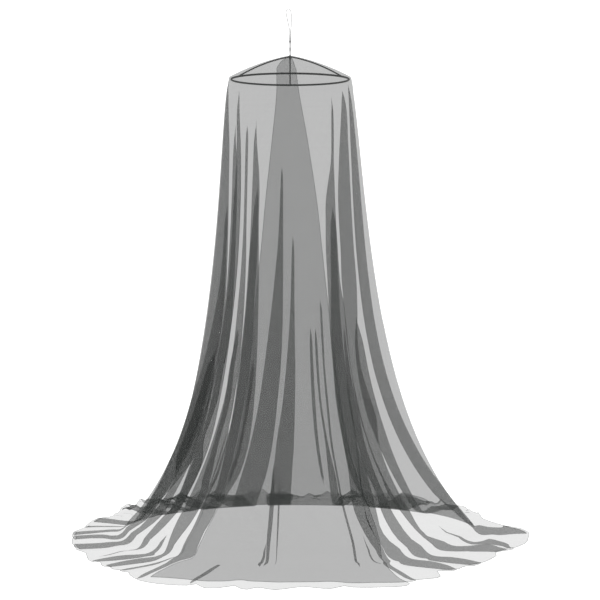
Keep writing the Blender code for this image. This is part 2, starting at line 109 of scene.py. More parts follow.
# One row for each pleat, in order round the canopy: name, fold or fine crease, the side its outer flap
# opens to, whether it sits outside the wall (1) or half in it (0), and its stops from its tip down. A stop
# is (run, left edge, right edge): the run is the height on the wall, 0 where the net lands on the floor
# and -1 at the hem, and the edges are in degrees.
FOLDS = (
    ("front_crease_5", "crease", "left", 0, (
        (0.11, 30.8, 30.8), (0.085, 30.8, 31.4), (0.045, 31.2, 31.9), (0, 31.9, 32.6), (-0.06, 32.7, 32.7))),
    ("front_right_1", "fold", "left", 1, (
        (2.22, 38, 38), (2.14, 36.4, 38.2), (1.92, 33.8, 36), (1.82, 30.8, 35.6), (1.72, 28.1, 35.2),
        (1.6, 27.3, 34.9), (1.48, 26.7, 34.4), (1.33, 26.9, 34.2), (1.04, 27, 34), (0.89, 27.5, 34.8),
        (0.75, 27.7, 35.4), (0.56, 29.3, 36.2), (0.46, 29.9, 35.5), (0.39, 30, 35), (0.31, 29.5, 34.6),
        (0.23, 29.6, 33.7), (0.14, 31.5, 34.9), (0.08, 33.2, 36.2), (0.02, 35.2, 37.5), (0, 33.8, 35.8),
        (-0.15, 31.8, 33.6), (-0.37, 30.1, 31.8), (-0.83, 27.6, 29), (-1, 27.3, 28.4))),
    ("front_right_2", "fold", "left", 0, (
        (0.54, 36.4, 36.4), (0.46, 35.8, 38.1), (0.39, 35.2, 39), (0.31, 34.8, 39.2), (0.25, 34.5, 39.1),
        (0.18, 34.2, 38.7), (0.14, 35.1, 38.6), (0.09, 36.5, 40.2), (0.05, 37.8, 43), (0.02, 39.3, 45),
        (0, 39.6, 45.8), (-0.25, 37.8, 46.5), (-0.7, 39.2, 45.5), (-1, 40.5, 43.5))),
    ("front_right_3", "fold", "left", 0, (
        (1.12, 37, 37), (1.04, 36.4, 37.6), (0.89, 36.2, 38.4), (0.75, 35.8, 39.5), (0.65, 36.3, 40.6),
        (0.56, 37.2, 41), (0.46, 38.4, 42.3), (0.39, 39.7, 43.4), (0.31, 41.6, 44.9), (0.22, 41.8, 46),
        (0.13, 43.3, 47.9), (0.08, 45, 49.6), (0.04, 47.4, 52.6), (0, 49.4, 54.6), (-0.2, 48.2, 55.5),
        (-0.65, 48.6, 54.8), (-1, 49.5, 53.5))),
    ("front_right_4", "fold", "right", 0, (
        (2.27, 53, 53), (2.18, 50, 55.5), (2.02, 45.6, 53.6), (1.9, 43, 52.6), (1.72, 40.3, 51.3),
        (1.48, 39.8, 50.3), (1.33, 39.1, 50), (1.18, 39.3, 48.3), (1.04, 39.2, 46), (0.89, 39.9, 46.2),
        (0.74, 40.9, 49.5), (0.65, 42.3, 51), (0.55, 43.8, 49.4), (0.45, 45.4, 50), (0.38, 47, 51),
        (0.3, 48, 52.3), (0.21, 50.8, 54.2), (0.12, 53.6, 55.2), (0.07, 56, 58.2), (0.04, 58.8, 65),
        (0.02, 64.5, 73), (0, 67, 76.8), (-0.2, 67.4, 76.8), (-0.65, 68, 73.5), (-1, 68.5, 72))),
    ("train_right", "fold", "left", 0, (
        (0.12, 65, 65), (0.1, 65, 65.8), (0.07, 68.3, 69.5), (0.047, 72, 74), (0.03, 74.6, 78),
        (0.01, 77.6, 83.5), (0, 78.6, 86), (-0.33, 77.7, 83), (-0.65, 75.8, 79), (-0.85, 74, 75.6),
        (-1, 73.4, 74.6))),
    ("right_side", "fold", "right", 0, (
        (2.29, 65, 65), (2.19, 62.4, 67.5), (2.03, 59.6, 67.5), (1.93, 58.6, 67.6), (1.73, 56.7, 66.9),
        (1.48, 55.5, 65.6), (1.18, 55.7, 65.2), (1.03, 56.7, 66), (0.88, 58.3, 67.7), (0.73, 61.1, 70.3),
        (0.63, 63.4, 72.7), (0.53, 66.1, 75.7), (0.42, 69.3, 79.3), (0.34, 72.1, 83), (0.25, 75.7, 87.6),
        (0.14, 83.1, 93), (0.06, 89, 100), (0, 94, 106), (-0.27, 93.2, 103), (-0.65, 94, 101.5),
        (-1, 94.5, 103.5))),
    ("back_right_1", "fold", "right", 0, (
        (1.12, 131, 131), (0.99, 128.5, 134.5), (0.83, 128.5, 136), (0.56, 128.4, 136), (0.45, 128.6, 135),
        (0.24, 129.8, 134.4), (0, 132, 135), (-1, 131, 136))),
    ("back_right_2", "fold", "left", 0, (
        (1.68, 144, 144), (1.61, 142.3, 146), (1.31, 142.4, 148.4), (1.15, 141, 150), (0.83, 142, 151.7),
        (0.43, 141.6, 152.7), (0.22, 141.4, 153.3), (0, 141.5, 152), (-1, 142, 151))),
    ("back_right_3", "fold", "right", 0, (
        (1.05, 162.8, 162.8), (0.99, 162.2, 163.5), (0.65, 162.4, 163.5), (0.42, 161.7, 162.9),
        (0.21, 161.3, 163.8), (0.1, 162, 164.6), (0, 162, 165), (-1, 161, 165.5))),
    ("back_crease", "crease", "left", 0, (
        (1.05, 166.2, 166.2), (0.99, 165.6, 166.8), (0.65, 166, 167.5), (0.42, 166.3, 167.5),
        (0.21, 166.3, 167.1), (0.1, 166.8, 166.8))),
    ("back_1", "fold", "left", 0, (
        (1.55, 177.8, 177.8), (1.47, 177, 178.5), (1.15, 177.2, 179.7), (0.99, 177.2, 180.8),
        (0.82, 177.3, 182.2), (0.65, 177.8, 183.6), (0.42, 178.8, 186), (0.21, 179.9, 186.6),
        (0, 180.5, 187), (-1, 179.5, 186))),
    ("back_2", "fold", "right", 0, (
        (1.93, 187, 187), (1.85, 186.2, 187.7), (1.61, 185.9, 188.6), (1.47, 185.8, 189.6),
        (1.31, 185.8, 191.2), (1.15, 185.9, 192.8), (0.99, 186.2, 194.5), (0.82, 187, 196),
        (0.65, 188.2, 197.3), (0.42, 189.6, 199.1), (0.21, 191.2, 200.3), (0, 193, 200.5), (-1, 193.5, 201))),
    ("back_left_1", "fold", "left", 0, (
        (2.15, 212, 212), (2.05, 210.9, 213.5), (1.84, 207.4, 213.3), (1.61, 206.7, 213.2),
        (1.31, 205, 212.8), (0.99, 203.6, 213.4), (0.66, 202.3, 213), (0.43, 202, 212.7),
        (0.22, 203, 211), (0.12, 204.8, 210.3), (0, 206, 211), (-1, 207, 213))),
    ("back_left_2", "fold", "right", 0, (
        (1.06, 219.4, 219.4), (0.99, 218.5, 220.7), (0.83, 219.2, 222.2), (0.67, 218.2, 221.4),
        (0.44, 219.4, 221.8), (0.24, 217, 220.4), (0.13, 214.8, 217.8), (0, 214.5, 218), (-1, 215, 219.5))),
    ("back_left_3", "fold", "left", 0, (
        (2.12, 237.6, 237.6), (2.05, 236, 238.8), (1.94, 232.8, 238.6), (1.74, 230.7, 237.1),
        (1.61, 229.7, 236.4), (1.32, 227.7, 235.1), (1, 226.6, 234.5), (0.67, 226.4, 233.6),
        (0.45, 225.4, 232.6), (0.25, 224.9, 231), (0.15, 224.2, 228.8), (0, 223, 227.5), (-1, 226, 232))),
    ("back_left_4", "fold", "left", 0, (
        (2.32, 265, 265), (2.27, 258.5, 269), (2.04, 248.6, 270), (1.83, 245.1, 270), (1.6, 242.1, 270),
        (1.32, 238.8, 270), (1.01, 237.3, 269), (0.85, 237.2, 265), (0.69, 237, 261), (0.48, 235.4, 258.5),
        (0.37, 234.4, 259), (0.25, 237, 253), (0.12, 240, 250), (0, 243, 248.5), (-1, 243, 247.5))),
    ("left_crease_1", "crease", "right", 0, (
        (0.06, 252, 252), (0, 251.5, 253), (-0.5, 252.5, 254.5), (-1, 254, 256.5))),
    ("left_crease_2", "crease", "left", 0, (
        (0.12, 262, 262), (0.05, 259, 261), (0, 258, 260.5), (-0.5, 261, 264), (-1, 264, 267))),
    ("left_side_1", "fold", "left", 0, (
        (1.68, 300.6, 300.6), (1.6, 298.8, 301.6), (1.48, 299.2, 302.4), (1.33, 298, 303.8),
        (1.18, 295.3, 304), (1.03, 291.1, 303.2), (0.88, 286.3, 299.6), (0.72, 279, 296.8),
        (0.62, 277.6, 295.6), (0.52, 277, 293.1), (0.42, 276, 290.2), (0.34, 275.4, 288.3),
        (0.25, 275.3, 286.3), (0.16, 278, 285.2), (0.13, 279.6, 285), (0.06, 271.8, 277.4),
        (0, 268.5, 273.5), (-0.3, 267, 271.5), (-1, 269.5, 273))),
    ("left_side_2", "fold", "right", 0, (
        (0.96, 299.5, 299.5), (0.88, 293.4, 301.6), (0.73, 288.7, 300.9), (0.63, 286.1, 298.9),
        (0.53, 283.8, 297.4), (0.43, 283.4, 297.2), (0.36, 289.6, 296.4), (0.31, 289.9, 295.6),
        (0.27, 289.8, 295), (0.18, 287.7, 294.1), (0.13, 285.9, 291.8), (0.08, 283.4, 288.1),
        (0.04, 279.6, 285), (0, 278.5, 284.5), (-0.45, 280.2, 287.5), (-1, 280.5, 287.3))),
    ("front_left_1", "fold", "right", 0, (
        (2.26, 308.6, 308.6), (2.18, 307.4, 310.2), (2.02, 309.5, 313.9), (1.92, 310.4, 315.5),
        (1.72, 309.5, 316.9), (1.48, 309.5, 317.2), (1.33, 309.1, 316.6), (1.18, 307.9, 315.4),
        (1.03, 305.7, 313.5), (0.88, 302.6, 310.5), (0.74, 301.4, 309), (0.64, 299.4, 306),
        (0.54, 297.9, 303.6), (0.44, 298.8, 306.4), (0.37, 298.8, 305.6), (0.29, 298.6, 303.7),
        (0.19, 297.4, 302.1), (0.15, 294.9, 300.1), (0.1, 293.3, 298), (0.05, 291.9, 295.4),
        (0, 293.3, 294.3), (-0.3, 294.2, 295.1), (-0.65, 297.6, 298.5), (-0.9, 299, 299))),
    ("train_left", "fold", "left", 0, (
        (0.09, 302.6, 302.6), (0.05, 301.6, 302.8), (0.02, 300.9, 302.7), (0, 302, 304.8),
        (-0.12, 302.4, 305.2), (-0.4, 301.2, 305.7), (-0.85, 302.2, 305), (-1, 303, 303.6))),
    ("front_left_2", "fold", "left", 0, (
        (2.1, 321.5, 321.5), (2.02, 320.9, 322.6), (1.82, 321.5, 323.3), (1.6, 322.1, 324.1),
        (1.48, 322, 324.8), (1.33, 321.5, 325.2), (1.18, 320.5, 325.2), (1.04, 319.6, 324.8),
        (0.89, 318, 323.8), (0.74, 316, 322.4), (0.65, 314.1, 321.4), (0.55, 312, 319.3),
        (0.45, 310, 317.5), (0.38, 308.6, 316.3), (0.3, 307.2, 315), (0.21, 305.9, 312.7),
        (0.16, 305.2, 311.5), (0.12, 305.1, 310.2), (0.07, 305.5, 308.8), (0.02, 306.6, 308.2),
        (0, 307.4, 309), (-0.12, 308.4, 310.8), (-0.34, 308, 312.7), (-0.64, 308.4, 312.3),
        (-0.9, 309.4, 311.8), (-1, 310, 311.5))),
    ("front_left_3", "fold", "right", 0, (
        (0.62, 321.8, 321.8), (0.55, 319.8, 322.3), (0.46, 317.9, 320.6), (0.38, 316.7, 319.4),
        (0.3, 315.6, 317.1), (0.21, 314.8, 316.6), (0.13, 314.2, 315.9), (0.08, 313.3, 314.8),
        (0, 313.2, 314.2), (-0.25, 315.4, 316.6), (-0.55, 316.3, 318.4), (-0.9, 316, 317.8),
        (-1, 316.3, 317.3))),
    ("front_left_4", "fold", "left", 1, (
        (1.78, 334, 334), (1.72, 332.5, 335), (1.6, 331.2, 335.2), (1.48, 329.5, 335.4), (1.33, 328.9, 334.8),
        (1.19, 328.4, 334.2), (1.04, 327.2, 333.9), (0.89, 325.8, 332.7), (0.75, 325.2, 331.2),
        (0.65, 324.3, 329.9), (0.55, 322.9, 328.6), (0.46, 320.9, 327.3), (0.39, 319.6, 326.1),
        (0.31, 317.5, 324.7), (0.22, 317.4, 323.2), (0.17, 316.8, 322), (0.13, 316.5, 320.7),
        (0.08, 315.3, 319.9), (0.04, 314.6, 319.6), (0, 314.8, 319.2), (-0.2, 317.4, 320),
        (-0.55, 321.6, 323.2), (-0.93, 325, 326), (-1, 325.8, 326))),
    ("front_crease_1", "crease", "left", 1, (
        (0.96, 335.8, 335.8), (0.88, 334.9, 336.5), (0.56, 331.4, 332.6), (0.46, 329.6, 330.9),
        (0.39, 328, 329.1), (0.33, 327.4, 327.4))),
    ("front_crease_6", "crease", "left", 1, (
        (-0.1, 335.2, 335.2), (-0.17, 335, 335.8), (-0.5, 336.5, 337.5), (-0.9, 337.9, 338.5),
        (-0.97, 338.4, 338.4))),
    ("front_crease_7", "crease", "left", 1, (
        (0.09, 349.6, 349.6), (0.05, 348.8, 349.5), (0, 348, 349), (-0.09, 348.4, 349.2),
        (-0.16, 349.5, 349.5))),
    ("front_crease_2", "crease", "left", 1, (
        (0.5, 351.3, 351.3), (0.3, 350.4, 352), (0.2, 350.2, 351.8), (0.1, 349.9, 351.3), (0, 350.2, 351),
        (-0.2, 350, 350))),
    ("front_crease_3", "crease", "right", 1, (
        (0.5, 354.5, 354.5), (0.3, 354.2, 354.9), (0, 354, 354.5), (-0.15, 354, 354))),
    ("front_crease_4", "crease", "left", 1, (
        (1.25, 380, 380), (1.19, 379.7, 380.9), (0.9, 380.2, 381.3), (0.75, 380.8, 382), (0.56, 381.5, 382.6),
        (0.4, 382.9, 383.8), (0.27, 383.7, 384.6), (0.08, 385.3, 386.2), (0, 384.5, 385.3),
        (-0.3, 381, 381))),
)

# The two free edges: stops on the cone as (place, degrees), then stops below the hoop as (run, degrees).
INNER_EDGE_CONE = ((0, -8), (0.3, -12), (0.46, -15), (0.7, -14.7), (0.9, -14), (1, -12.2))
OUTER_EDGE_CONE = ((0, 363), (0.46, 364.5), (1, 365.4))
INNER_EDGE = (
    (2.342, -12.2), (2.25, -11.6), (2.02, -14.7), (1.72, -19.3), (1.48, -22), (1.19, -25.6), (0.89, -27.4),
    (0.65, -30), (0.46, -32.6), (0.31, -35.3), (0.22, -36.8), (0.13, -39.2), (0.06, -40.2), (0, -40.8),
    (-0.2, -39.9), (-0.55, -36.8), (-0.93, -34), (-1, -33.5),
)
OUTER_EDGE = (
    (2.342, 365.4), (2.25, 367.3), (2.01, 373.8), (1.72, 379.9), (1.48, 382.8), (1.19, 385.8), (0.9, 388.4),
    (0.66, 390), (0.47, 391.8), (0.31, 394.7), (0.18, 396.3), (0.08, 396.3), (0, 394.4), (-0.35, 389.4),
    (-0.76, 386), (-1, 385.3),
)

# Where the hem lies on the floor: angle, distance from the canopy's axis.
HEM_OUTLINE = (
    (-36, 1.17), (-30.3, 1.124), (-24, 1.109), (-20, 1.113), (-14.5, 1.08), (-12.5, 1.045), (-10, 1.062),
    (2, 1.07), (10.7, 1.078), (13.7, 1.12), (20.5, 1.153), (25.3, 1.185), (31.7, 1.205), (35, 1.185),
    (39, 1.08), (42.2, 1.13), (45.3, 1.12), (48, 1.1), (49.6, 1.125), (53.3, 1.13), (62.2, 1.12),
    (67.3, 1.09), (72, 1.137), (76.4, 1.172), (81, 1.2), (86, 1.214), (94.5, 1.243), (100, 1.235),
    (104, 1.19), (108.5, 1.173), (115.7, 1.17), (121.2, 1.223), (126, 1.25), (136, 1.29), (143, 1.31),
    (150, 1.36), (158, 1.33), (165, 1.28), (180, 1.25), (195, 1.28), (203, 1.34), (209, 1.36), (216, 1.31),
    (222, 1.3), (230, 1.225), (234.8, 1.173), (239, 1.15), (243.7, 1.177), (254.7, 1.127), (265, 1.138),
    (272, 1.111), (281.6, 1.112), (287, 1.105), (291.7, 1.079), (297, 1.1), (303.6, 1.125), (305.5, 1.105),
    (308.8, 1.135), (312, 1.13), (314.6, 1.155), (318.9, 1.135), (321, 1.17), (326.7, 1.245),
    (330.2, 1.262), (334.5, 1.26), (338.5, 1.24), (340, 1.2), (342, 1.26), (345.8, 1.247), (347.9, 1.187),
    (350.8, 1.258), (353.1, 1.21), (357, 1.243), (362.6, 1.19), (368.5, 1.24), (371.3, 1.192),
    (373.5, 1.235), (383.3, 1.275), (386, 1.225),
)

# A pleat's section, from its first edge to its last: share of its width, share of its depth.
PLEAT_SECTION = ((0.0, 0.0), (0.95, 0.04), (1.0, 0.42), (0.0, 0.58), (0.05, 0.96), (1.0, 1.0))
SECTION_SAMPLES = {
    "fold": (0, 0.5, 0.85, 1, 1.2, 1.6, 2, 2.5, 3, 3.4, 3.8, 4, 4.3, 5),
    "crease": (0, 0.7, 1, 1.5, 2, 2.5, 3, 3.5, 4, 4.3, 5),
}

# Rows of the net from the apex down: how many there are in each stretch of the profile.
CONE_ROWS = 14
HOOP_ROWS = 6
WALL_ROWS = 64
TURN_ROWS = 10
FLOOR_ROWS = 30
GAP_COLUMN_WIDTH = 1.9

# Uneven waves of the cloth: heights in metres, then for each noise its scale round the canopy, its rate down
# the profile and its seed. The hem's two waves are (scale, share, seed).
WALL_WAVE = 0.0022
WALL_WAVE_NOISE = (5.0, 3.0, 21.0)
FLOOR_LIFT = 0.003
FLOOR_LIFT_NOISE = (11.0, 2.0, 5.0)
BACK_LIFT = 0.07
BACK_LIFT_NOISE = (26.0, 3.0, 14.0)
BACK_RAMP = 2.5
HEM_WAVE = 0.004
HEM_WAVES = ((9.0, 1.0, 3.1), (24.0, 0.6, 8.7))

# --- the hanging cord: the route in the X-Z plane, up from the hub, round the loop and down again ---
CORD_DIAMETER = 0.0030
CORD_LEG = 0.00115
CORD_FOOT = 2.4663
CORD_ROUTE = (
    (-CORD_LEG, CORD_FOOT), (-CORD_LEG, 2.500), (-CORD_LEG, 2.540), (-CORD_LEG, 2.572),
    (-0.0022, 2.590), (-0.0062, 2.610), (-0.0110, 2.634), (-0.0170, 2.662), (-0.0200, 2.680),
    (-0.0180, 2.692), (-0.0100, 2.699), (-0.0008, 2.694), (0.0048, 2.682), (0.0068, 2.662), (0.0066, 2.634),
    (0.0058, 2.610), (0.0034, 2.590), (CORD_LEG, 2.572), (CORD_LEG, 2.540), (CORD_LEG, 2.500),
    (CORD_LEG, CORD_FOOT),
)
CORD_STEP = 0.004

# --- the hoop frame: its tubes and its hub are drawn as thick as they look through the net ---
HOOP_SHOWN_TUBE = 0.0048
HUB_SHOWN_RADIUS = 0.0062
SPOKE_TUBE = 0.0036
SPOKE_ANGLES = {"right": 60.0, "left": 300.0, "back": 180.0}
SPOKE_HUB_HEIGHT = 2.4570
SPOKE_HUB_SLOPE = 0.20
SPOKE_HUB_GAP = 0.0010
SPOKE_STEPS = 48
SEAT_GAP = 0.0003
HOOP_POINTS = 240
HUB_ROUNDING = 0.0006
HUB_PROFILE = (
    (0.0, 2.4660), (0.0034, 2.4660), (0.0034, 2.4618), (HUB_SHOWN_RADIUS, 2.4602),
    (HUB_SHOWN_RADIUS, 2.4480), (0.0040, 2.4450), (0.0, 2.4450),
)

# The pieces threaded on the cord's two legs: name, (radius, height) down the outer side, and the grey at
# shares of the height.
FITTING_BORE = 0.0028
FITTINGS = (
    ("sleeve",
     ((FITTING_BORE, 2.5280), (0.0032, 2.5280), (0.0036, 2.5270), (0.0036, 2.5240), (0.0030, 2.5225),
      (0.0030, 2.5015), (0.0038, 2.5000), (0.0038, 2.4890), (0.0030, 2.4875), (0.0030, 2.4800),
      (FITTING_BORE, 2.4800)),
     ((0.0, 0.05), (0.25, 0.09), (0.5, 0.03), (0.6, 0.14), (1.0, 0.12))),
    ("bead",
     ((FITTING_BORE, 2.5400), (0.0036, 2.5396), (0.0046, 2.5372), (0.0050, 2.5340), (0.0046, 2.5308),
      (0.0036, 2.5287), (FITTING_BORE, 2.5283)),
     ((0.0, 0.04), (1.0, 0.06))),
    ("ferrule",
     ((FITTING_BORE, 2.5720), (0.0030, 2.5720), (0.0034, 2.5700), (0.0036, 2.5560), (0.0038, 2.5440),
      (0.0034, 2.5403), (FITTING_BORE, 2.5403)),
     ((0.0, 0.12), (0.3, 0.10), (1.0, 0.22))),
)

# --- how round the turned and bent parts are ---
FITTING_SIDES = 40
FITTING_STEPS = 4
HUB_SIDES = 48
CORD_SIDES = 15
HEM_SIDES = 6
STITCH_SIDES = 5
FLOOR_SIDES = 96
BACKDROP_SIDES = 48
BACKDROP_RINGS = 24

# --- scales of the fine noises in the materials, per metre ---
NET_CLOUD_SCALE = 9.0
PAINT_PEEL_SCALE = 900.0
PAINT_CLOUD_SCALE = 30.0
CORD_FIBRE_SCALE = 2600.0
CORD_CLOUD_SCALE = 60.0
PLASTIC_SCALE = 1500.0
THREAD_TWIST_SCALE = 1800.0

# --- darker shades of the cord and the paint, as shares of their full colour ---
CORD_DARK_FIBRE_SHARE = 0.7
PAINT_DARK_SHADE = 0.75

# --- the net's cut, its hem and its finish ---
CLOTH_MAP = "cloth"
THREAD_CONTRAST = 0.05
SLUB_ACROSS = 160.0
SLUB_ALONG = 0.6
SLUB_CONTRAST = 0.03
HEM_FROM_ROW = 1
HEM_LIFT = 0.0004
STITCH_LIFT = 0.0007
STITCH_LEAN = 0.35

# --- the stage ---
FLOOR_RADIUS = 7.0
FLOOR_DROP = 0.001
SURROUNDINGS_SHADE = 0.08
BACKDROP_RADIUS = 20.0
SEE_THROUGH_LAYERS = 64
LAMP_PLACES = ((-2.6, -4.2, 0.6), (3.0, -3.4, 0.2))
LAMP_SIZE = 2.5

# --- the camera, which stands straight in front of the canopy and looks a little down ---
IMAGE_PIXELS = 600
FOCAL_PIXELS = 1584.1
SENSOR_WIDTH = 36.0
CAMERA_DISTANCE = 8.088
CAMERA_HEIGHT = 1.5388
CAMERA_TILT = 2.253
CAMERA_PAN = 0.357
CAMERA_REACH = 100.0


# --- small helpers ---
def smooth(value):
    """Ease from 0 to 1."""
    value = min(max(value, 0.0), 1.0)
    return value * value * (3.0 - 2.0 * value)


def mix(start, end, share):
    return start + (end - start) * share


def curve_value(stops, values, position):
    """Catmull-Rom value at a position among increasing stops, held beyond both ends."""
    if position <= stops[0]:
        return values[0]
    if position >= stops[-1]:
        return values[-1]
    index = max(i for i in range(len(stops) - 1) if stops[i] <= position)
    before = max(index - 1, 0)
    after = min(index + 2, len(stops) - 1)
    span = stops[index + 1] - stops[index]
    share = (position - stops[index]) / span
    slope_start = (values[index + 1] - values[before]) / (stops[index + 1] - stops[before]) * span
    slope_end = (values[after] - values[index]) / (stops[after] - stops[index]) * span
    square = share * share
    cube = square * share
    return (values[index] * (2 * cube - 3 * square + 1) + slope_start * (cube - 2 * square + share)
            + values[index + 1] * (3 * square - 2 * cube) + slope_end * (cube - square))


def straight_value(stops, values, position):
    """Straight-line value at a position among increasing stops, held beyond both ends."""
    if position <= stops[0]:
        return values[0]
    for index in range(len(stops) - 1):
        if position <= stops[index + 1]:
            share = (position - stops[index]) / (stops[index + 1] - stops[index])
            return mix(values[index], values[index + 1], share)
    return values[-1]


def round_point(angle, radius, height):
    """Point in the frame at an angle and radius round the canopy's axis and a height above the floor."""
    turn = math.radians(angle)
    return Vector((radius * math.sin(turn), -radius * math.cos(turn), height + FLOOR))


# --- the plain surface of the net ---
def contact_radius(angle):
    """Where the wall meets the floor: close in at the front, further out at the sides and back."""
    turn = math.radians(angle)
    return (CONTACT_RADIUS - CONTACT_BACK * math.cos(turn) + CONTACT_RIGHT * math.sin(turn)
            - CONTACT_SIDES * math.cos(2.0 * turn))


def wall_radius(angle, height):
    """Distance of the wall from the axis: a slope, a swell below the hoop, a flare and fuller sides."""
    side = math.sin(math.radians(angle))
    slope = WALL_SLOPE + WALL_SLOPE_SIDE * side
    fade = WALL_FADE + WALL_FADE_SIDE * side
    drop = HOOP_HEIGHT - height
    top = HOOP_RADIUS + NET_OVER_HOOP
    swell = WALL_SWELL * (1.0 - math.exp(-max(drop, 0.0) / WALL_SWELL_DROP))
    flare = contact_radius(angle) - top - WALL_SWELL - slope * HOOP_HEIGHT
    faded = math.exp(-HOOP_HEIGHT / fade)
    share = (math.exp(-height / fade) - faded) / (1.0 - faded)
    arch = math.sin(math.pi * max(height / HOOP_HEIGHT, 0.0) ** SIDE_BULGE_SET) ** 2
    return top + swell + slope * drop + flare * share + SIDE_BULGE * side ** SIDE_BULGE_FOCUS * arch


HEM_ANGLES = [row[0] for row in HEM_OUTLINE]
HEM_RADII = [row[1] for row in HEM_OUTLINE]


def ring_noise(angle, scale, level, seed):
    """Smooth noise of -1 to 1 that closes round the canopy, so that layers on each other share it."""
    turn = math.radians(angle)
    return noise.noise(Vector((scale * math.sin(turn) + seed, scale * math.cos(turn), level)))


def place_noise(angle, place, kind):
    """Noise of one kind (scale, rate down the profile, seed) at a place on the cloth."""
    scale, rate, seed = kind
    return ring_noise(angle, scale, place * rate, seed)


def hem_radius(angle):
    wave = sum(share * ring_noise(angle, scale, 0.0, seed) for scale, share, seed in HEM_WAVES)
    return curve_value(HEM_ANGLES, HEM_RADII, angle) + HEM_WAVE * wave


def cone_slope(share):
    """Fall of the cone for each metre outwards, at a share of the way from the apex to the hoop."""
    run = HOOP_RADIUS - APEX_RADIUS
    fall = APEX_HEIGHT - HOOP_HEIGHT - NET_OVER_HOOP
    return (fall - CONE_BULGE * 4.0 * (1.0 - 2.0 * share)) / run


def profile_point(angle, place, hem_shift=0.0):
    """Radius and height of the plain surface at an angle.

    The place runs 0-1 down the cone, 1-2 round the hoop, 2-3 down the wall, 3-4 round the turn at the
    floor and 4-5 out along the floor to the hem.
    """
    arc_start = math.pi / 2.0 - math.atan(cone_slope(1.0))
    arc_end = -math.atan(WALL_SLOPE + WALL_SWELL / WALL_SWELL_DROP)
    if place < 2.0:
        turn = arc_start if place < 1.0 else mix(arc_start, arc_end, place - 1.0)
        radius = HOOP_RADIUS + NET_OVER_HOOP * math.cos(turn)
        height = HOOP_HEIGHT + NET_OVER_HOOP * math.sin(turn)
        if place < 1.0:
            bulge = CONE_BULGE * 4.0 * place * (1.0 - place)
            return mix(APEX_RADIUS, radius, place), mix(APEX_HEIGHT, height, place) + bulge
        return radius, height
    wall_top = HOOP_HEIGHT + NET_OVER_HOOP * math.sin(arc_end)
    if place <= 3.0:
        height = mix(wall_top, WALL_FOOT_HEIGHT, place - 2.0)
        return wall_radius(angle, height), height
    foot = wall_radius(angle, WALL_FOOT_HEIGHT)
    foot_slope = (foot - wall_radius(angle, WALL_FOOT_HEIGHT + FOOT_STEP)) / FOOT_STEP
    corner = foot + foot_slope * WALL_FOOT_HEIGHT
    landing = corner + FLOOR_TURN
    if place <= 4.0:
        share = place - 3.0
        radius = foot * (1 - share) ** 2 + 2 * corner * share * (1 - share) + landing * share ** 2
        height = mix(WALL_FOOT_HEIGHT * (1 - share) ** 2, GROUND, share)
        return radius, max(height, GROUND)
    return mix(landing, hem_radius(angle) + hem_shift, place - 4.0), GROUND


def profile_normal(angle, place):
    """Outward and upward parts of the surface's normal at an angle."""
    step = 0.01
    radius_a, height_a = profile_point(angle, max(place - step, 0.0))
    radius_b, height_b = profile_point(angle, min(place + step, 5.0))
    length = math.hypot(radius_b - radius_a, height_b - height_a)
    return (height_a - height_b) / length, (radius_b - radius_a) / length


def run_of(place):
    """How far down a row lies: the height on the wall, 0 at the landing on the floor, -1 at the hem."""
    if place >= 4.0:
        return 4.0 - place
    if place >= 3.0:
        return WALL_FOOT_HEIGHT * (4.0 - place)
    return profile_point(0.0, place)[1]


def stop_value(stops, item, run):
    """Value of one item of a table's stops, which run downwards, on a smooth curve through them."""
    return curve_value([-stop[0] for stop in stops], [stop[item] for stop in stops], -run)


# --- the columns of cloth at one row ---
def pleat_depth(place, depth_wall):
    """Depth of a pleat, from its inner to its outer layer."""
    if place >= 4.0:
        return PLEAT_DEPTH_FLOOR
    height = profile_point(0.0, place)[1]
    grown = smooth((HOOP_HEIGHT - height) / PLEAT_GROWTH_DROP)
    depth = mix(PLEAT_DEPTH_HOOP, depth_wall, grown)
    return mix(PLEAT_DEPTH_FLOOR, depth, smooth(height / FLOOR_EASE_HEIGHT))


def panel_gap(place):
    """Distance between the two front panels."""
    if place < 2.0:
        return mix(PANEL_GAP_APEX, PANEL_GAP_WALL, smooth(place / 2.0))
    if place >= 4.0:
        return PANEL_GAP_FLOOR
    return mix(PANEL_GAP_WALL, PANEL_GAP_FLOOR, smooth(place - 3.0))


def edge_angle(edge, cone_edge, place):
    """Angle of a free edge at a row."""
    if place < 1.0:
        return straight_value([stop[0] for stop in cone_edge], [stop[1] for stop in cone_edge], place)
    return stop_value(edge, 1, min(run_of(place), HOOP_HEIGHT))


def pleat_section(samples):
    """The section sampled on a smooth curve through its corners, as (share, along, across)."""
    stops = range(len(PLEAT_SECTION))
    along = [corner[0] for corner in PLEAT_SECTION]
    across = [corner[1] for corner in PLEAT_SECTION]
    return [(sample / stops[-1], curve_value(stops, along, sample), curve_value(stops, across, sample))
            for sample in samples]


SECTIONS = {kind: pleat_section(samples) for kind, samples in SECTION_SAMPLES.items()}


def row_bounds(place):
    """Angles at one row of the inner free edge, of each pleat's two edges in turn and of the outer one.

    A pleat that is closed at this row stays clear of its neighbours.
    """
    run = run_of(place)
    bounds = [edge_angle(INNER_EDGE, INNER_EDGE_CONE, place)]
    closed = []
    for *_, stops in FOLDS:
        if not stops[-1][0] <= run <= stops[0][0]:
            closed += [len(bounds), len(bounds) + 1]
        bounds += [stop_value(stops, 1, run), stop_value(stops, 2, run)]
    bounds.append(edge_angle(OUTER_EDGE, OUTER_EDGE_CONE, place))
    for index in closed:
        bounds[index] = max(bounds[index], bounds[index - 1])
    for index in reversed(closed):
        bounds[index] = min(bounds[index], bounds[index + 1])
    return bounds


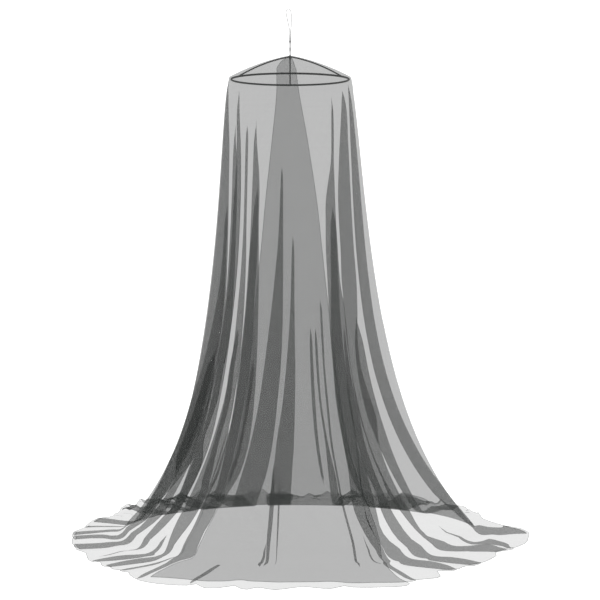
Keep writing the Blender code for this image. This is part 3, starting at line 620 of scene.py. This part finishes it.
def gap_columns():
    """How many plain columns lie between neighbouring pleats, counted where they are furthest apart."""
    rows = [row_bounds(place) for place in net_places() if place >= 1.0]
    counts = []
    for index in range(0, len(rows[0]), 2):
        widest = max(row[index + 1] - row[index] for row in rows)
        counts.append(max(1, math.ceil(widest / GAP_COLUMN_WIDTH) - 1))
    return counts


def pleat_columns(fold, left, right, place, depth):
    """Columns of one pleat at one row, as [angle, offset, hem shift]."""
    _, kind, lay, outside, _ = fold
    opening = smooth((right - left - FORMS_AT) / (FOLDED_AT - FORMS_AT))
    sink = 0.0 if outside else 0.5 * smooth(profile_point(0.0, place)[1] / FLOOR_EASE_HEIGHT)
    columns = []
    for share, along, across in SECTIONS[kind]:
        if lay == "right":
            across = 1.0 - across
            plain = 1.0 - share
        else:
            plain = share
        along = mix(share, along, opening)
        across = mix(plain, across, opening)
        slip = -LAYER_SLIP * opening * math.sin(math.pi * share)
        columns.append([mix(left, right, along), depth * opening * (across - sink), slip])
    return columns


def row_of_cloth(place, gaps, depth_wall):
    """Angle, offset and hem shift of every column of cloth at one row, in order round the canopy."""
    depth = pleat_depth(place, depth_wall)
    bounds = row_bounds(place)
    columns = [[bounds[0], 0.0, 0.0]]
    for index, fold in enumerate(FOLDS + (None,)):
        if fold:
            section = pleat_columns(fold, *bounds[2 * index + 1:2 * index + 3], place, depth)
        else:
            section = [[bounds[-1], 0.0, 0.0]]
        before = columns[-1]
        for step in range(1, gaps[index] + 1):
            share = step / (gaps[index] + 1)
            columns.append([mix(before[0], section[0][0], share),
                            mix(before[1], section[0][1], smooth(share)), 0.0])
        columns.extend(section)
    spread_over_cone(columns, place)
    lift_outer_panel(columns, place)
    return columns


def spread_over_cone(columns, place):
    """On the cone the columns spread evenly towards the apex, and the pleats fade out."""
    if place >= 1.0:
        return
    first = columns[0][0]
    last = columns[-1][0]
    share = smooth(place)
    for index, column in enumerate(columns):
        even = mix(first, last, index / (len(columns) - 1))
        column[0] = mix(even, column[0], share)
        column[1] *= share


def lift_outer_panel(columns, place):
    """Where the two ends of the cloth overlap, the last one lies outside the first one."""
    overlap_from = columns[0][0] + 360.0
    gap = panel_gap(place)
    for column in columns:
        column[1] += gap * smooth((column[0] - overlap_from + PANEL_LEAD) / PANEL_RAMP + 1.0)


def net_places():
    """Where the rows of the net lie on the profile, from the apex to the hem."""
    places = [index / CONE_ROWS for index in range(CONE_ROWS)]
    places += [1.0 + index / HOOP_ROWS for index in range(HOOP_ROWS)]
    places += [2.0 + index / WALL_ROWS for index in range(WALL_ROWS)]
    places += [3.0 + index / TURN_ROWS for index in range(TURN_ROWS)]
    places += [4.0 + index / FLOOR_ROWS for index in range(FLOOR_ROWS + 1)]
    return places


def cloth_wave(angle, place):
    """Uneven waves of the cloth: along its normal on the wall, upwards on the floor, rucked at the back."""
    if place < 1.0:
        return 0.0
    if place < 4.0:
        fade = smooth(place - 1.5) * smooth(4.0 - place)
        return WALL_WAVE * fade * place_noise(angle, place, WALL_WAVE_NOISE)
    lift = 0.5 + 0.5 * place_noise(angle, place, FLOOR_LIFT_NOISE)
    at_back = smooth(-1.0 - BACK_RAMP * math.cos(math.radians(angle)))
    ruck = at_back * abs(place_noise(angle, place, BACK_LIFT_NOISE))
    return smooth(place - 4.0) * (FLOOR_LIFT * lift + BACK_LIFT * ruck)


def cloth_point(angle, offset, hem_shift, place):
    radius, height = profile_point(angle, place, hem_shift)
    outward, upward = profile_normal(angle, place)
    offset += cloth_wave(angle, place)
    return round_point(angle, radius + offset * outward, height + offset * upward)


# --- making meshes ---
def shown(name, data, material):
    """Link a new object that shows this mesh or curve in this material."""
    thing = bpy.data.objects.new(name, data)
    data.materials.append(material)
    bpy.context.scene.collection.objects.link(thing)
    return thing


def mesh_from(name, build):
    """New mesh data from a bmesh that the given function fills."""
    shape = bmesh.new()
    build(shape)
    data = bpy.data.meshes.new(name)
    shape.to_mesh(data)
    shape.free()
    data.shade_smooth()
    return data


def finish_piece(piece, slot, *nodes):
    """A finished piece rides on the one body and stands for the CAD nodes that it replaces; its slot is not
    used.
    """
    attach(piece, "root")
    if nodes:
        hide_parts(*nodes)


def turned_mesh(name, profile, segments):
    """A turned piece from (radius, height) pairs that run down its outer side."""
    def build(shape):
        rings = []
        for radius, height in profile:
            count = segments if radius > 0.0 else 1
            rings.append([shape.verts.new(round_point(360.0 * index / segments, radius, height))
                          for index in range(count)])
        pairs = list(zip(rings, rings[1:]))
        if profile[0][0] > 0.0:
            pairs.append((rings[-1], rings[0]))
        for upper, lower in pairs:
            for index in range(segments):
                corners = [upper[index % len(upper)], upper[(index + 1) % len(upper)],
                           lower[(index + 1) % len(lower)], lower[index % len(lower)]]
                shape.faces.new(list(dict.fromkeys(corners)))
        bmesh.ops.recalc_face_normals(shape, faces=shape.faces)

    return mesh_from(name, build)


def smooth_profile(profile, steps):
    """More points along a profile, on a smooth curve through its own."""
    stops = range(len(profile))
    radii = [point[0] for point in profile]
    heights = [point[1] for point in profile]
    samples = [index / steps for index in range((len(profile) - 1) * steps + 1)]
    return [(max(curve_value(stops, radii, sample), 0.0), curve_value(stops, heights, sample))
            for sample in samples]


def tube_mesh(name, path, tube_radius, sides, closed=False):
    """A round tube along a path of gentle bends, with flat ends if it is open."""
    def build(shape):
        rings = []
        last = len(path) - 1
        for index, point in enumerate(path):
            ahead = path[(index + 1) % len(path)] if closed else path[min(index + 1, last)]
            behind = path[index - 1] if closed else path[max(index - 1, 0)]
            tangent = (ahead - behind).normalized()
            side = tangent.cross(Vector((0.0, 0.0, 1.0))).normalized()
            upward = side.cross(tangent)
            turns = [math.tau * step / sides for step in range(sides)]
            spokes = [math.cos(turn) * side + math.sin(turn) * upward for turn in turns]
            rings.append([shape.verts.new(point + tube_radius * spoke) for spoke in spokes])
        pairs = list(zip(rings, rings[1:])) + ([(rings[-1], rings[0])] if closed else [])
        for first, second in pairs:
            for step in range(sides):
                follow = (step + 1) % sides
                shape.faces.new((first[step], first[follow], second[follow], second[step]))
        if not closed:
            shape.faces.new(rings[0])
            shape.faces.new(rings[-1])
        bmesh.ops.recalc_face_normals(shape, faces=shape.faces)

    return mesh_from(name, build)


def spoke_height(radius):
    """Height of a spoke's axis: it leaves the hub nearly level and bends down to the hoop."""
    bend = (SPOKE_HUB_HEIGHT - HOOP_HEIGHT - SPOKE_HUB_SLOPE * HOOP_RADIUS) / HOOP_RADIUS ** 2
    return SPOKE_HUB_HEIGHT - SPOKE_HUB_SLOPE * radius - bend * radius ** 2


def spoke_path(angle):
    first = HUB_SHOWN_RADIUS + SPOKE_HUB_GAP
    last = HOOP_RADIUS - HOOP_SHOWN_TUBE - SEAT_GAP
    radii = [mix(first, last, index / SPOKE_STEPS) for index in range(SPOKE_STEPS + 1)]
    return [round_point(angle, radius, spoke_height(radius)) for radius in radii]


def rounded_profile(profile, rounding):
    """The profile with each of its corners cut back to two points, so that its edges look rounded."""
    points = [profile[0]]
    for before, corner, after in zip(profile, profile[1:], profile[2:]):
        for end in (before, after):
            reach = min(rounding / math.dist(corner, end), 0.4)
            points.append((mix(corner[0], end[0], reach), mix(corner[1], end[1], reach)))
    return points + [profile[-1]]


def cord_path():
    """Evenly spaced points on the smooth curve through the cord's route."""
    stops = [0.0]
    for first, second in zip(CORD_ROUTE, CORD_ROUTE[1:]):
        stops.append(stops[-1] + math.dist(first, second))
    across = [point[0] for point in CORD_ROUTE]
    heights = [point[1] for point in CORD_ROUTE]
    count = round(stops[-1] / CORD_STEP)
    places = [stops[-1] * index / count for index in range(count + 1)]
    return [Vector((curve_value(stops, across, place), 0.0, curve_value(stops, heights, place) + FLOOR))
            for place in places]


# --- the net as a mesh ---
def cloth_rows(fold_depth):
    """Every row of the net from the apex to the hem, as lists of points."""
    gaps = gap_columns()
    rows = []
    for place in net_places():
        columns = row_of_cloth(place, gaps, fold_depth)
        rows.append([cloth_point(angle, offset, shift, place) for angle, offset, shift in columns])
    return rows


def cloth_lengths(rows):
    """How far each point lies along its row from the middle of the cloth, and down its column."""
    middle = len(rows[0]) // 2
    along = []
    for row in rows:
        lengths = [0.0]
        for first, second in zip(row, row[1:]):
            lengths.append(lengths[-1] + (second - first).length)
        along.append([length - lengths[middle] for length in lengths])
    down = [0.0]
    for upper, lower in zip(rows, rows[1:]):
        down.append(down[-1] + (lower[middle] - upper[middle]).length)
    return along, down


def net_mesh(rows):
    """The net as one open sheet, with a UV map in metres of cloth."""
    along, down = cloth_lengths(rows)

    def build(shape):
        cloth = shape.loops.layers.uv.new(CLOTH_MAP)
        grid = [[shape.verts.new(point) for point in row] for row in rows]
        for level in range(len(grid) - 1):
            upper = grid[level]
            lower = grid[level + 1]
            for index in range(len(upper) - 1):
                face = shape.faces.new((upper[index], lower[index], lower[index + 1], upper[index + 1]))
                corners = ((level, index), (level + 1, index), (level + 1, index + 1), (level, index + 1))
                for loop, (row, column) in zip(face.loops, corners):
                    loop[cloth].uv = (along[row][column], down[row])

    return mesh_from("sheer_net", build)


def hem_path(rows):
    """Points along the cloth's free edge: down the inner edge, along the hem and up the outer edge."""
    inner = [row[0] for row in rows[HEM_FROM_ROW:-1]]
    outer = [row[-1] for row in reversed(rows[HEM_FROM_ROW:-1])]
    return [point + Vector((0.0, 0.0, HEM_LIFT)) for point in inner + rows[-1] + outer]


# --- materials ---
def find_socket(sockets, key):
    """A socket by its place, or else by its identifier or name."""
    if isinstance(key, int):
        return sockets[key]
    return next(socket for socket in sockets if key in (socket.identifier, socket.name))


class Value:
    """A number socket of a shader tree: an expression on it adds the Math nodes that work it out."""

    def __init__(self, shader, socket):
        self.shader = shader
        self.socket = socket

    def math(self, operation, first, second=None):
        values = {0: first} if second is None else {0: first, 1: second}
        return self.shader.node("ShaderNodeMath", {"operation": operation}, values)["Value"]

    def __add__(self, other):
        return self.math("ADD", self, other)

    def __sub__(self, other):
        return self.math("SUBTRACT", self, other)

    def __mul__(self, other):
        return self.math("MULTIPLY", self, other)

    def __truediv__(self, other):
        return self.math("DIVIDE", self, other)

    def sine(self):
        return self.math("SINE", self)


class Shader:
    """A new material with one Principled shader, and one method that adds any other node."""

    def __init__(self, name, constants):
        self.material = bpy.data.materials.new(name)
        self.material.use_nodes = True
        self.tree = self.material.node_tree
        self.surface = self.tree.nodes["Principled BSDF"]
        for socket, value in constants.items():
            self.surface.inputs[socket].default_value = value

    def node(self, kind, settings=None, values=None):
        """Add a node: its settings first, then its sockets' values or links. Returns its outputs."""
        made = self.tree.nodes.new(kind)
        for name, setting in (settings or {}).items():
            if name == "stops":
                self.set_stops(made.color_ramp, setting)
            else:
                setattr(made, name, setting)
        for name, value in (values or {}).items():
            self.fill(find_socket(made.inputs, name), value)
        return {output.identifier: Value(self, output) for output in made.outputs}

    @staticmethod
    def set_stops(ramp, stops):
        while len(ramp.elements) < len(stops):
            ramp.elements.new(0.5)
        for element, (position, colour) in zip(ramp.elements, stops):
            element.position = position
            element.color = (*colour, 1.0)

    def fill(self, socket, value):
        if isinstance(value, Value):
            self.tree.links.new(value.socket, socket)
        else:
            socket.default_value = value

    def link(self, **values):
        """Link values to the Principled shader: its socket's name in lower case with underscores."""
        for name, value in values.items():
            title = name.replace("_", " ").title()
            self.fill(self.surface.inputs[title], value)

    def mix_colour(self, share, first, second):
        return self.node("ShaderNodeMix", {"data_type": "RGBA"},
                         {"Factor_Float": share, "A_Color": (*first, 1.0), "B_Color": (*second, 1.0)}
                         )["Result_Color"]

    def noise(self, where, scale, detail=2.0):
        return self.node("ShaderNodeTexNoise", None,
                         {"Vector": where, "Scale": scale, "Detail": detail})["Fac"]

    def object_place(self):
        return self.node("ShaderNodeTexCoord")["Object"]

    def bump(self, height, distance, strength):
        return self.node("ShaderNodeBump", None,
                         {"Height": height, "Distance": distance, "Strength": strength})["Normal"]


def net_material(settings):
    """Fine sheer net: the thread grid shows in its opacity, and its two yarns are a little uneven."""
    shader = Shader("net cloth", {"Roughness": 0.9, "Specular IOR Level": 0.1})
    place = shader.node("ShaderNodeUVMap", {"uv_map": CLOTH_MAP})["UV"]
    along = shader.node("ShaderNodeSeparateXYZ", None, {"Vector": place})
    turns = math.tau / settings.thread_pitch
    threads = (along["X"] * turns).sine() + (along["Y"] * turns).sine()
    slub = []
    for stretch in ((SLUB_ACROSS, SLUB_ALONG, 1.0), (SLUB_ALONG, SLUB_ACROSS, 1.0)):
        streaks = shader.node("ShaderNodeMapping", None, {"Vector": place, "Scale": stretch})["Vector"]
        slub.append(shader.noise(streaks, 1.0) - 0.5)
    uneven = slub[0] + slub[1]
    alpha = threads * (settings.opacity * THREAD_CONTRAST) + uneven * SLUB_CONTRAST + settings.opacity
    cloud = shader.noise(shader.object_place(), NET_CLOUD_SCALE)
    colour = shader.mix_colour(cloud, tuple(settings.dark), tuple(settings.light))
    shader.link(alpha=alpha, base_color=colour)
    return shader.material


def painted_metal_material(name, dark, light):
    """Satin paint over tube: a fine orange peel, and a little wear in the gloss."""
    shader = Shader(name, {"Specular IOR Level": 0.2})
    place = shader.object_place()
    peel = shader.noise(place, PAINT_PEEL_SCALE)
    cloud = shader.noise(place, PAINT_CLOUD_SCALE)
    shader.link(base_color=shader.mix_colour(cloud, dark, light), roughness=cloud * 0.2 + 0.35,
                normal=shader.bump(peel, 0.0002, 0.3))
    return shader.material


def cord_material(settings):
    """Twisted cord: fine fibres along the strands, some darker than others at random."""
    shader = Shader("twisted cord", {"Roughness": 0.85, "Specular IOR Level": 0.2})
    place = shader.object_place()
    fibre = shader.noise(place, CORD_FIBRE_SCALE)
    cloud = shader.noise(place, CORD_CLOUD_SCALE)
    pale = tuple(settings.cord_colour)
    dark = tuple(channel * CORD_DARK_FIBRE_SHARE for channel in pale)
    shader.link(base_color=shader.mix_colour(fibre * 0.5 + cloud * 0.4, pale, dark),
                normal=shader.bump(fibre, 0.0003, 0.6))
    return shader.material


def banded_material(name, low, high, bands):
    """Moulded plastic whose shade changes along its height: bands are (share of the height, grey)."""
    shader = Shader(name, {"Roughness": 0.5})
    place = shader.object_place()
    height = shader.node("ShaderNodeSeparateXYZ", None, {"Vector": place})["Z"]
    share = (height - (low + FLOOR)) / (high - low)
    stops = [(position, (grey, grey, grey)) for position, grey in bands]
    colour = shader.node("ShaderNodeValToRGB", {"stops": stops}, {"Fac": share})["Color"]
    shader.link(base_color=colour, normal=shader.bump(shader.noise(place, PLASTIC_SCALE), 0.0001, 0.4))
    return shader.material


def thread_material(settings):
    """Dark sewing thread, a little glossier than the net."""
    shader = Shader("hem thread", {"Roughness": 0.7, "Specular IOR Level": 0.2})
    twist = shader.noise(shader.object_place(), THREAD_TWIST_SCALE)
    shader.link(base_color=shader.mix_colour(twist, tuple(settings.dark), tuple(settings.light)),
                normal=shader.bump(twist, 0.0001, 0.5))
    return shader.material


def surroundings_material(settings):
    """Plain white surroundings that glow by themselves, so that the net stands before soft even light."""
    shader = Shader("white surroundings", {
        "Roughness": 1.0, "Specular IOR Level": 0.0, "Base Color": (*[SURROUNDINGS_SHADE] * 3, 1.0),
        "Emission Color": (1.0, 1.0, 1.0, 1.0), "Emission Strength": settings.brightness})
    return shader.material


# --- Geometry Nodes ---
class NodeTree:
    """A Geometry Nodes tree that is built in the script, with named inputs for its sizes."""

    def __init__(self, name, inputs):
        self.tree = bpy.data.node_groups.new(name, "GeometryNodeTree")
        self.tree.interface.new_socket("Geometry", in_out="INPUT", socket_type="NodeSocketGeometry")
        self.identifiers = {}
        for title, (kind, default) in inputs.items():
            socket = self.tree.interface.new_socket(title, in_out="INPUT", socket_type=kind)
            if default is not None:
                socket.default_value = default
            self.identifiers[title] = socket.identifier
        self.tree.interface.new_socket("Geometry", in_out="OUTPUT", socket_type="NodeSocketGeometry")
        self.given = self.tree.nodes.new("NodeGroupInput").outputs

    def node(self, kind, settings=None, values=None):
        """Add a node: its settings first, then its sockets' values or links. Returns its outputs."""
        made = self.tree.nodes.new(kind)
        for name, setting in (settings or {}).items():
            setattr(made, name, setting)
        for name, value in (values or {}).items():
            socket = find_socket(made.inputs, name)
            if isinstance(value, list):
                for source in value:
                    self.tree.links.new(source, socket)
            elif isinstance(value, bpy.types.NodeSocket):
                self.tree.links.new(value, socket)
            else:
                socket.default_value = value
        return {output.identifier: output for output in made.outputs}

    def finish(self, geometry):
        """End with Realize Instances and Set Material."""
        real = self.node("GeometryNodeRealizeInstances", None, {"Geometry": geometry})["Geometry"]
        done = self.node("GeometryNodeSetMaterial", None,
                         {"Geometry": real, "Material": self.given["Material"]})["Geometry"]
        self.tree.links.new(done, self.tree.nodes.new("NodeGroupOutput").inputs["Geometry"])

    def make_piece(self, name, source, values):
        """Run the tree on a source object, keep the result as a plain mesh and remove the source."""
        modifier = source.modifiers.new("tree", "NODES")
        modifier.node_group = self.tree
        for title, value in values.items():
            modifier[self.identifiers[title]] = value
        graph = bpy.context.evaluated_depsgraph_get()
        data = bpy.data.meshes.new_from_object(source.evaluated_get(graph))
        bpy.data.objects.remove(source, do_unlink=True)
        data.name = name
        data.shade_smooth()
        piece = bpy.data.objects.new(name, data)
        bpy.context.scene.collection.objects.link(piece)
        return piece


def path_object(name, paths):
    """An object of loose edges along one or more lists of points, for a tree to work on."""
    data = bpy.data.meshes.new(name)
    points = [point for path in paths for point in path]
    edges = []
    start = 0
    for path in paths:
        edges += [(start + index, start + index + 1) for index in range(len(path) - 1)]
        start += len(path)
    data.from_pydata(points, edges, [])
    source = bpy.data.objects.new(name, data)
    bpy.context.scene.collection.objects.link(source)
    return source


def hem_tree():
    """A rolled hem along the net's edges, with short stitches lying across it."""
    tree = NodeTree("rolled hem", {
        "Roll Radius": ("NodeSocketFloat", 0.0007), "Roll Step": ("NodeSocketFloat", 0.012),
        "Stitch Spacing": ("NodeSocketFloat", 0.006), "Stitch Length": ("NodeSocketFloat", 0.004),
        "Stitch Radius": ("NodeSocketFloat", 0.00035), "Material": ("NodeSocketMaterial", None),
    })
    given = tree.given
    line = tree.node("GeometryNodeMeshToCurve", None, {"Mesh": given["Geometry"]})["Curve"]
    coarse = tree.node("GeometryNodeResampleCurve", {"mode": "LENGTH"},
                       {"Curve": line, "Length": given["Roll Step"]})["Curve"]
    ring = tree.node("GeometryNodeCurvePrimitiveCircle", None,
                     {"Resolution": HEM_SIDES, "Radius": given["Roll Radius"]})["Curve"]
    roll = tree.node("GeometryNodeCurveToMesh", None,
                     {"Curve": coarse, "Profile Curve": ring, "Fill Caps": True})["Mesh"]
    places = tree.node("GeometryNodeCurveToPoints", {"mode": "LENGTH"},
                       {"Curve": line, "Length": given["Stitch Spacing"]})
    turn = tree.node("FunctionNodeAlignRotationToVector", {"axis": "Z"}, {"Vector": places["Tangent"]})
    stitch = tree.node("GeometryNodeMeshCylinder", None, {
        "Vertices": STITCH_SIDES, "Radius": given["Stitch Radius"], "Depth": given["Stitch Length"]})["Mesh"]
    lifted = tree.node("GeometryNodeTransform", None,
                       {"Geometry": stitch, "Translation": (STITCH_LIFT, 0.0, 0.0),
                        "Rotation": (0.0, STITCH_LEAN, 0.0)})["Geometry"]
    row = tree.node("GeometryNodeInstanceOnPoints", None, {
        "Points": places["Points"], "Instance": lifted, "Rotation": turn["Rotation"]})["Instances"]
    both = tree.node("GeometryNodeJoinGeometry", None, {"Geometry": [roll, row]})["Geometry"]
    tree.finish(both)
    return tree


def twist_tree():
    """A cord of three strands: a three-lobed section that turns as it follows the path."""
    tree = NodeTree("twisted cord", {
        "Radius": ("NodeSocketFloat", 0.001), "Groove": ("NodeSocketFloat", 0.85),
        "Lay Length": ("NodeSocketFloat", 0.009), "Step": ("NodeSocketFloat", 0.0006),
        "Material": ("NodeSocketMaterial", None),
    })
    given = tree.given
    line = tree.node("GeometryNodeMeshToCurve", None, {"Mesh": given["Geometry"]})["Curve"]
    fine = tree.node("GeometryNodeResampleCurve", {"mode": "LENGTH"},
                     {"Curve": line, "Length": given["Step"]})["Curve"]
    along = tree.node("GeometryNodeSplineParameter")["Length"]
    turns = tree.node("ShaderNodeMath", {"operation": "DIVIDE"}, {0: along, 1: given["Lay Length"]})["Value"]
    angle = tree.node("ShaderNodeMath", {"operation": "MULTIPLY"}, {0: turns, 1: math.tau})["Value"]
    twisted = tree.node("GeometryNodeSetCurveTilt", None, {"Curve": fine, "Tilt": angle})["Curve"]
    groove = tree.node("ShaderNodeMath", {"operation": "MULTIPLY"},
                       {0: given["Radius"], 1: given["Groove"]})["Value"]
    star = tree.node("GeometryNodeCurveStar", None, {
        "Points": 3, "Inner Radius": groove, "Outer Radius": given["Radius"]})["Curve"]
    soft = tree.node("GeometryNodeCurveSplineType", {"spline_type": "CATMULL_ROM"}, {"Curve": star})["Curve"]
    section = tree.node("GeometryNodeResampleCurve", {"mode": "COUNT"},
                        {"Curve": soft, "Count": CORD_SIDES})["Curve"]
    rope = tree.node("GeometryNodeCurveToMesh", None,
                     {"Curve": twisted, "Profile Curve": section, "Fill Caps": True})["Mesh"]
    tree.finish(rope)
    return tree


# --- the settings that a user would change ---
class CanopyNetSettings(bpy.types.PropertyGroup):
    fold_depth: bpy.props.FloatProperty(
        name="Fold Depth", description="Depth of the folds on the wall, from inner to outer layer",
        default=0.008, min=0.003, max=0.04, subtype="DISTANCE", unit="LENGTH")
    opacity: bpy.props.FloatProperty(
        name="Opacity", description="How much light one layer of net keeps back",
        default=0.425, min=0.05, max=1.0, subtype="FACTOR")
    thread_pitch: bpy.props.FloatProperty(
        name="Thread Pitch", description="Distance between neighbouring threads of the net",
        default=0.0016, min=0.0005, max=0.004, subtype="DISTANCE", unit="LENGTH")
    dark: bpy.props.FloatVectorProperty(
        name="Dark Yarn", description="Darker colour of the yarn",
        default=(0.030, 0.033, 0.0315), min=0.0, max=1.0, size=3, subtype="COLOR")
    light: bpy.props.FloatVectorProperty(
        name="Light Yarn", description="Lighter colour of the yarn",
        default=(0.038, 0.041, 0.039), min=0.0, max=1.0, size=3, subtype="COLOR")
    stitch_spacing: bpy.props.FloatProperty(
        name="Stitch Spacing", description="Distance between neighbouring stitches of the hem",
        default=0.006, min=0.003, max=0.02, subtype="DISTANCE", unit="LENGTH")


class CanopyFrameSettings(bpy.types.PropertyGroup):
    paint: bpy.props.FloatVectorProperty(
        name="Paint", description="Colour of the hoop, the spokes and the hub",
        default=(0.032, 0.032, 0.033), min=0.0, max=1.0, size=3, subtype="COLOR")
    tube_sides: bpy.props.IntProperty(
        name="Tube Sides", description="Sides of the round tubes", default=20, min=8, max=48)


class CanopyCordSettings(bpy.types.PropertyGroup):
    lay_length: bpy.props.FloatProperty(
        name="Lay Length", description="Length of one turn of the cord's strands",
        default=0.009, min=0.004, max=0.03, subtype="DISTANCE", unit="LENGTH")
    cord_colour: bpy.props.FloatVectorProperty(
        name="Cord Colour", description="Colour of the hanging cord",
        default=(0.10, 0.10, 0.10), min=0.0, max=1.0, size=3, subtype="COLOR")


class CanopyStageSettings(bpy.types.PropertyGroup):
    brightness: bpy.props.FloatProperty(
        name="Brightness", description="Brightness of the white surroundings", default=1.3, min=0.1, max=4.0)
    lamp_power: bpy.props.FloatProperty(
        name="Lamp Power", description="Power of each soft lamp", default=45.0, min=0.0, max=500.0,
        subtype="POWER", unit="POWER")


# --- operators ---
class CanopyCamera(bpy.types.Operator):
    """Place the camera straight in front of the canopy, looking a little down"""
    bl_idname = "canopy.camera"
    bl_label = "Camera"

    def execute(self, context):
        data = bpy.data.cameras.new("camera")
        data.sensor_width = SENSOR_WIDTH
        data.lens = FOCAL_PIXELS / IMAGE_PIXELS * SENSOR_WIDTH
        data.clip_end = CAMERA_REACH
        camera = bpy.data.objects.new("camera", data)
        camera.location = (0.0, -CAMERA_DISTANCE, CAMERA_HEIGHT + FLOOR)
        camera.rotation_euler = (math.radians(90.0 - CAMERA_TILT), 0.0, -math.radians(CAMERA_PAN))
        context.scene.collection.objects.link(camera)
        context.scene.camera = camera
        return {"FINISHED"}


class CanopyCord(bpy.types.Operator):
    """Make the twisted hanging cord and the fittings that are threaded on it"""
    bl_idname = "canopy.cord"
    bl_label = "Hanging Cord"

    def execute(self, context):
        settings = context.scene.canopy_cord
        fittings = [self.make_fitting(name, profile, bands) for name, profile, bands in FITTINGS]
        path = cord_path()
        material = cord_material(settings)
        cord = twist_tree().make_piece("cord_twisted", path_object("cord path", [path]), {
            "Radius": CORD_DIAMETER / 2.0, "Lay Length": settings.lay_length, "Material": material})
        finish_piece(cord, "cord", "hanging_cord")
        return {"FINISHED"}

    @staticmethod
    def make_fitting(name, profile, bands):
        heights = [point[1] for point in profile]
        material = banded_material(name, min(heights), max(heights), bands)
        turned = turned_mesh(name, smooth_profile(profile, FITTING_STEPS), FITTING_SIDES)
        piece = shown(name, turned, material)
        finish_piece(piece, "frame_metal" if name == "bead" else "fitting", "cord_" + name)
        return piece


class CanopyFrame(bpy.types.Operator):
    """Make the hoop, its three spokes and the hub in satin paint"""
    bl_idname = "canopy.frame"
    bl_label = "Hoop Frame"

    def execute(self, context):
        settings = context.scene.canopy_frame
        light = tuple(settings.paint)
        dark = tuple(channel * PAINT_DARK_SHADE for channel in light)
        material = painted_metal_material("satin paint", dark, light)
        path = [round_point(360.0 * index / HOOP_POINTS, HOOP_RADIUS, HOOP_HEIGHT)
                for index in range(HOOP_POINTS)]
        hoop = tube_mesh("hoop", path, HOOP_SHOWN_TUBE, settings.tube_sides, closed=True)
        finish_piece(shown("hoop", hoop, material), "frame_metal", "hoop_ring")
        for side, angle in SPOKE_ANGLES.items():
            bar = tube_mesh("bar_" + side, spoke_path(angle), SPOKE_TUBE, settings.tube_sides)
            finish_piece(shown("bar_" + side, bar, material), "frame_metal", "spoke_" + side)
        knob = turned_mesh("knob", rounded_profile(HUB_PROFILE, HUB_ROUNDING), HUB_SIDES)
        finish_piece(shown("knob", knob, material), "frame_metal", "hub")
        return {"FINISHED"}


class CanopyNet(bpy.types.Operator):
    """Drape the net over the hoop in its folds, with its rolled and stitched hem"""
    bl_idname = "canopy.net"
    bl_label = "Net"

    def execute(self, context):
        settings = context.scene.canopy_net
        rows = cloth_rows(settings.fold_depth)
        material = net_material(settings)
        net = shown("sheer_net", net_mesh(rows), material)
        finish_piece(net, "net_cloth", "net")
        hem = hem_tree().make_piece("hem_roll", path_object("hem path", [hem_path(rows)]), {
            "Stitch Spacing": settings.stitch_spacing, "Material": thread_material(settings)})
        finish_piece(hem, "net_cloth")
        return {"FINISHED"}


class CanopyStage(bpy.types.Operator):
    """Lay the white floor, set the white backdrop round it and place the two soft lamps"""
    bl_idname = "canopy.stage"
    bl_label = "Stage"

    def execute(self, context):
        settings = context.scene.canopy_stage
        scene = context.scene
        scene.view_settings.view_transform = "Standard"
        scene.cycles.transparent_max_bounces = SEE_THROUGH_LAYERS
        scene.world = bpy.data.worlds.new("dark")
        scene.world.color = (0.0, 0.0, 0.0)
        material = surroundings_material(settings)
        for name, build in (("floor", self.disc), ("backdrop", self.dome)):
            shown(name, mesh_from(name, build), material)
        for index, place in enumerate(LAMP_PLACES):
            self.add_lamp(scene, index, Vector(place), settings.lamp_power)
        return {"FINISHED"}

    @staticmethod
    def disc(shape):
        bmesh.ops.create_circle(shape, cap_ends=True, segments=FLOOR_SIDES, radius=FLOOR_RADIUS)
        bmesh.ops.translate(shape, verts=shape.verts, vec=(0.0, 0.0, FLOOR - FLOOR_DROP))

    @staticmethod
    def dome(shape):
        bmesh.ops.create_uvsphere(shape, u_segments=BACKDROP_SIDES, v_segments=BACKDROP_RINGS,
                                  radius=BACKDROP_RADIUS)

    @staticmethod
    def add_lamp(scene, index, place, power):
        data = bpy.data.lights.new("lamp_%d" % index, "AREA")
        data.shape = "DISK"
        data.size = LAMP_SIZE
        data.energy = power
        lamp = bpy.data.objects.new(data.name, data)
        lamp.location = place
        aim = Vector((0.0, 0.0, FLOOR / 2.0)) - place
        lamp.rotation_euler = aim.to_track_quat("-Z", "Y").to_euler()
        scene.collection.objects.link(lamp)


class CanopyPanel(bpy.types.Panel):
    """Buttons and settings of the canopy's pieces"""
    bl_idname = "VIEW3D_PT_canopy"
    bl_label = "Mosquito Net Canopy"
    bl_space_type = "VIEW_3D"
    bl_region_type = "UI"
    bl_category = "Canopy"

    def draw(self, context):
        for operator, group in STEPS:
            box = self.layout.box()
            box.operator("canopy." + operator)
            if group:
                settings = getattr(context.scene, "canopy_" + group)
                for name in settings.bl_rna.properties.keys():
                    if name not in ("rna_type", "name"):
                        box.prop(settings, name)


GROUPS = {"net": CanopyNetSettings, "frame": CanopyFrameSettings, "cord": CanopyCordSettings,
          "stage": CanopyStageSettings}
OPERATORS = (CanopyCamera, CanopyCord, CanopyFrame, CanopyNet, CanopyStage)
STEPS = (("camera", None), ("cord", "cord"), ("frame", "frame"), ("net", "net"), ("stage", "stage"))


def register():
    for name, group in GROUPS.items():
        bpy.utils.register_class(group)
        setattr(bpy.types.Scene, "canopy_" + name, bpy.props.PointerProperty(type=group))
    for item in OPERATORS + (CanopyPanel,):
        bpy.utils.register_class(item)


def unregister():
    for item in reversed(OPERATORS + (CanopyPanel,)):
        bpy.utils.unregister_class(item)
    for name, group in GROUPS.items():
        delattr(bpy.types.Scene, "canopy_" + name)
        bpy.utils.unregister_class(group)


def main():
    register()
    for operator, _ in STEPS:
        getattr(bpy.ops.canopy, operator)()


if __name__ == "__main__":
    main()
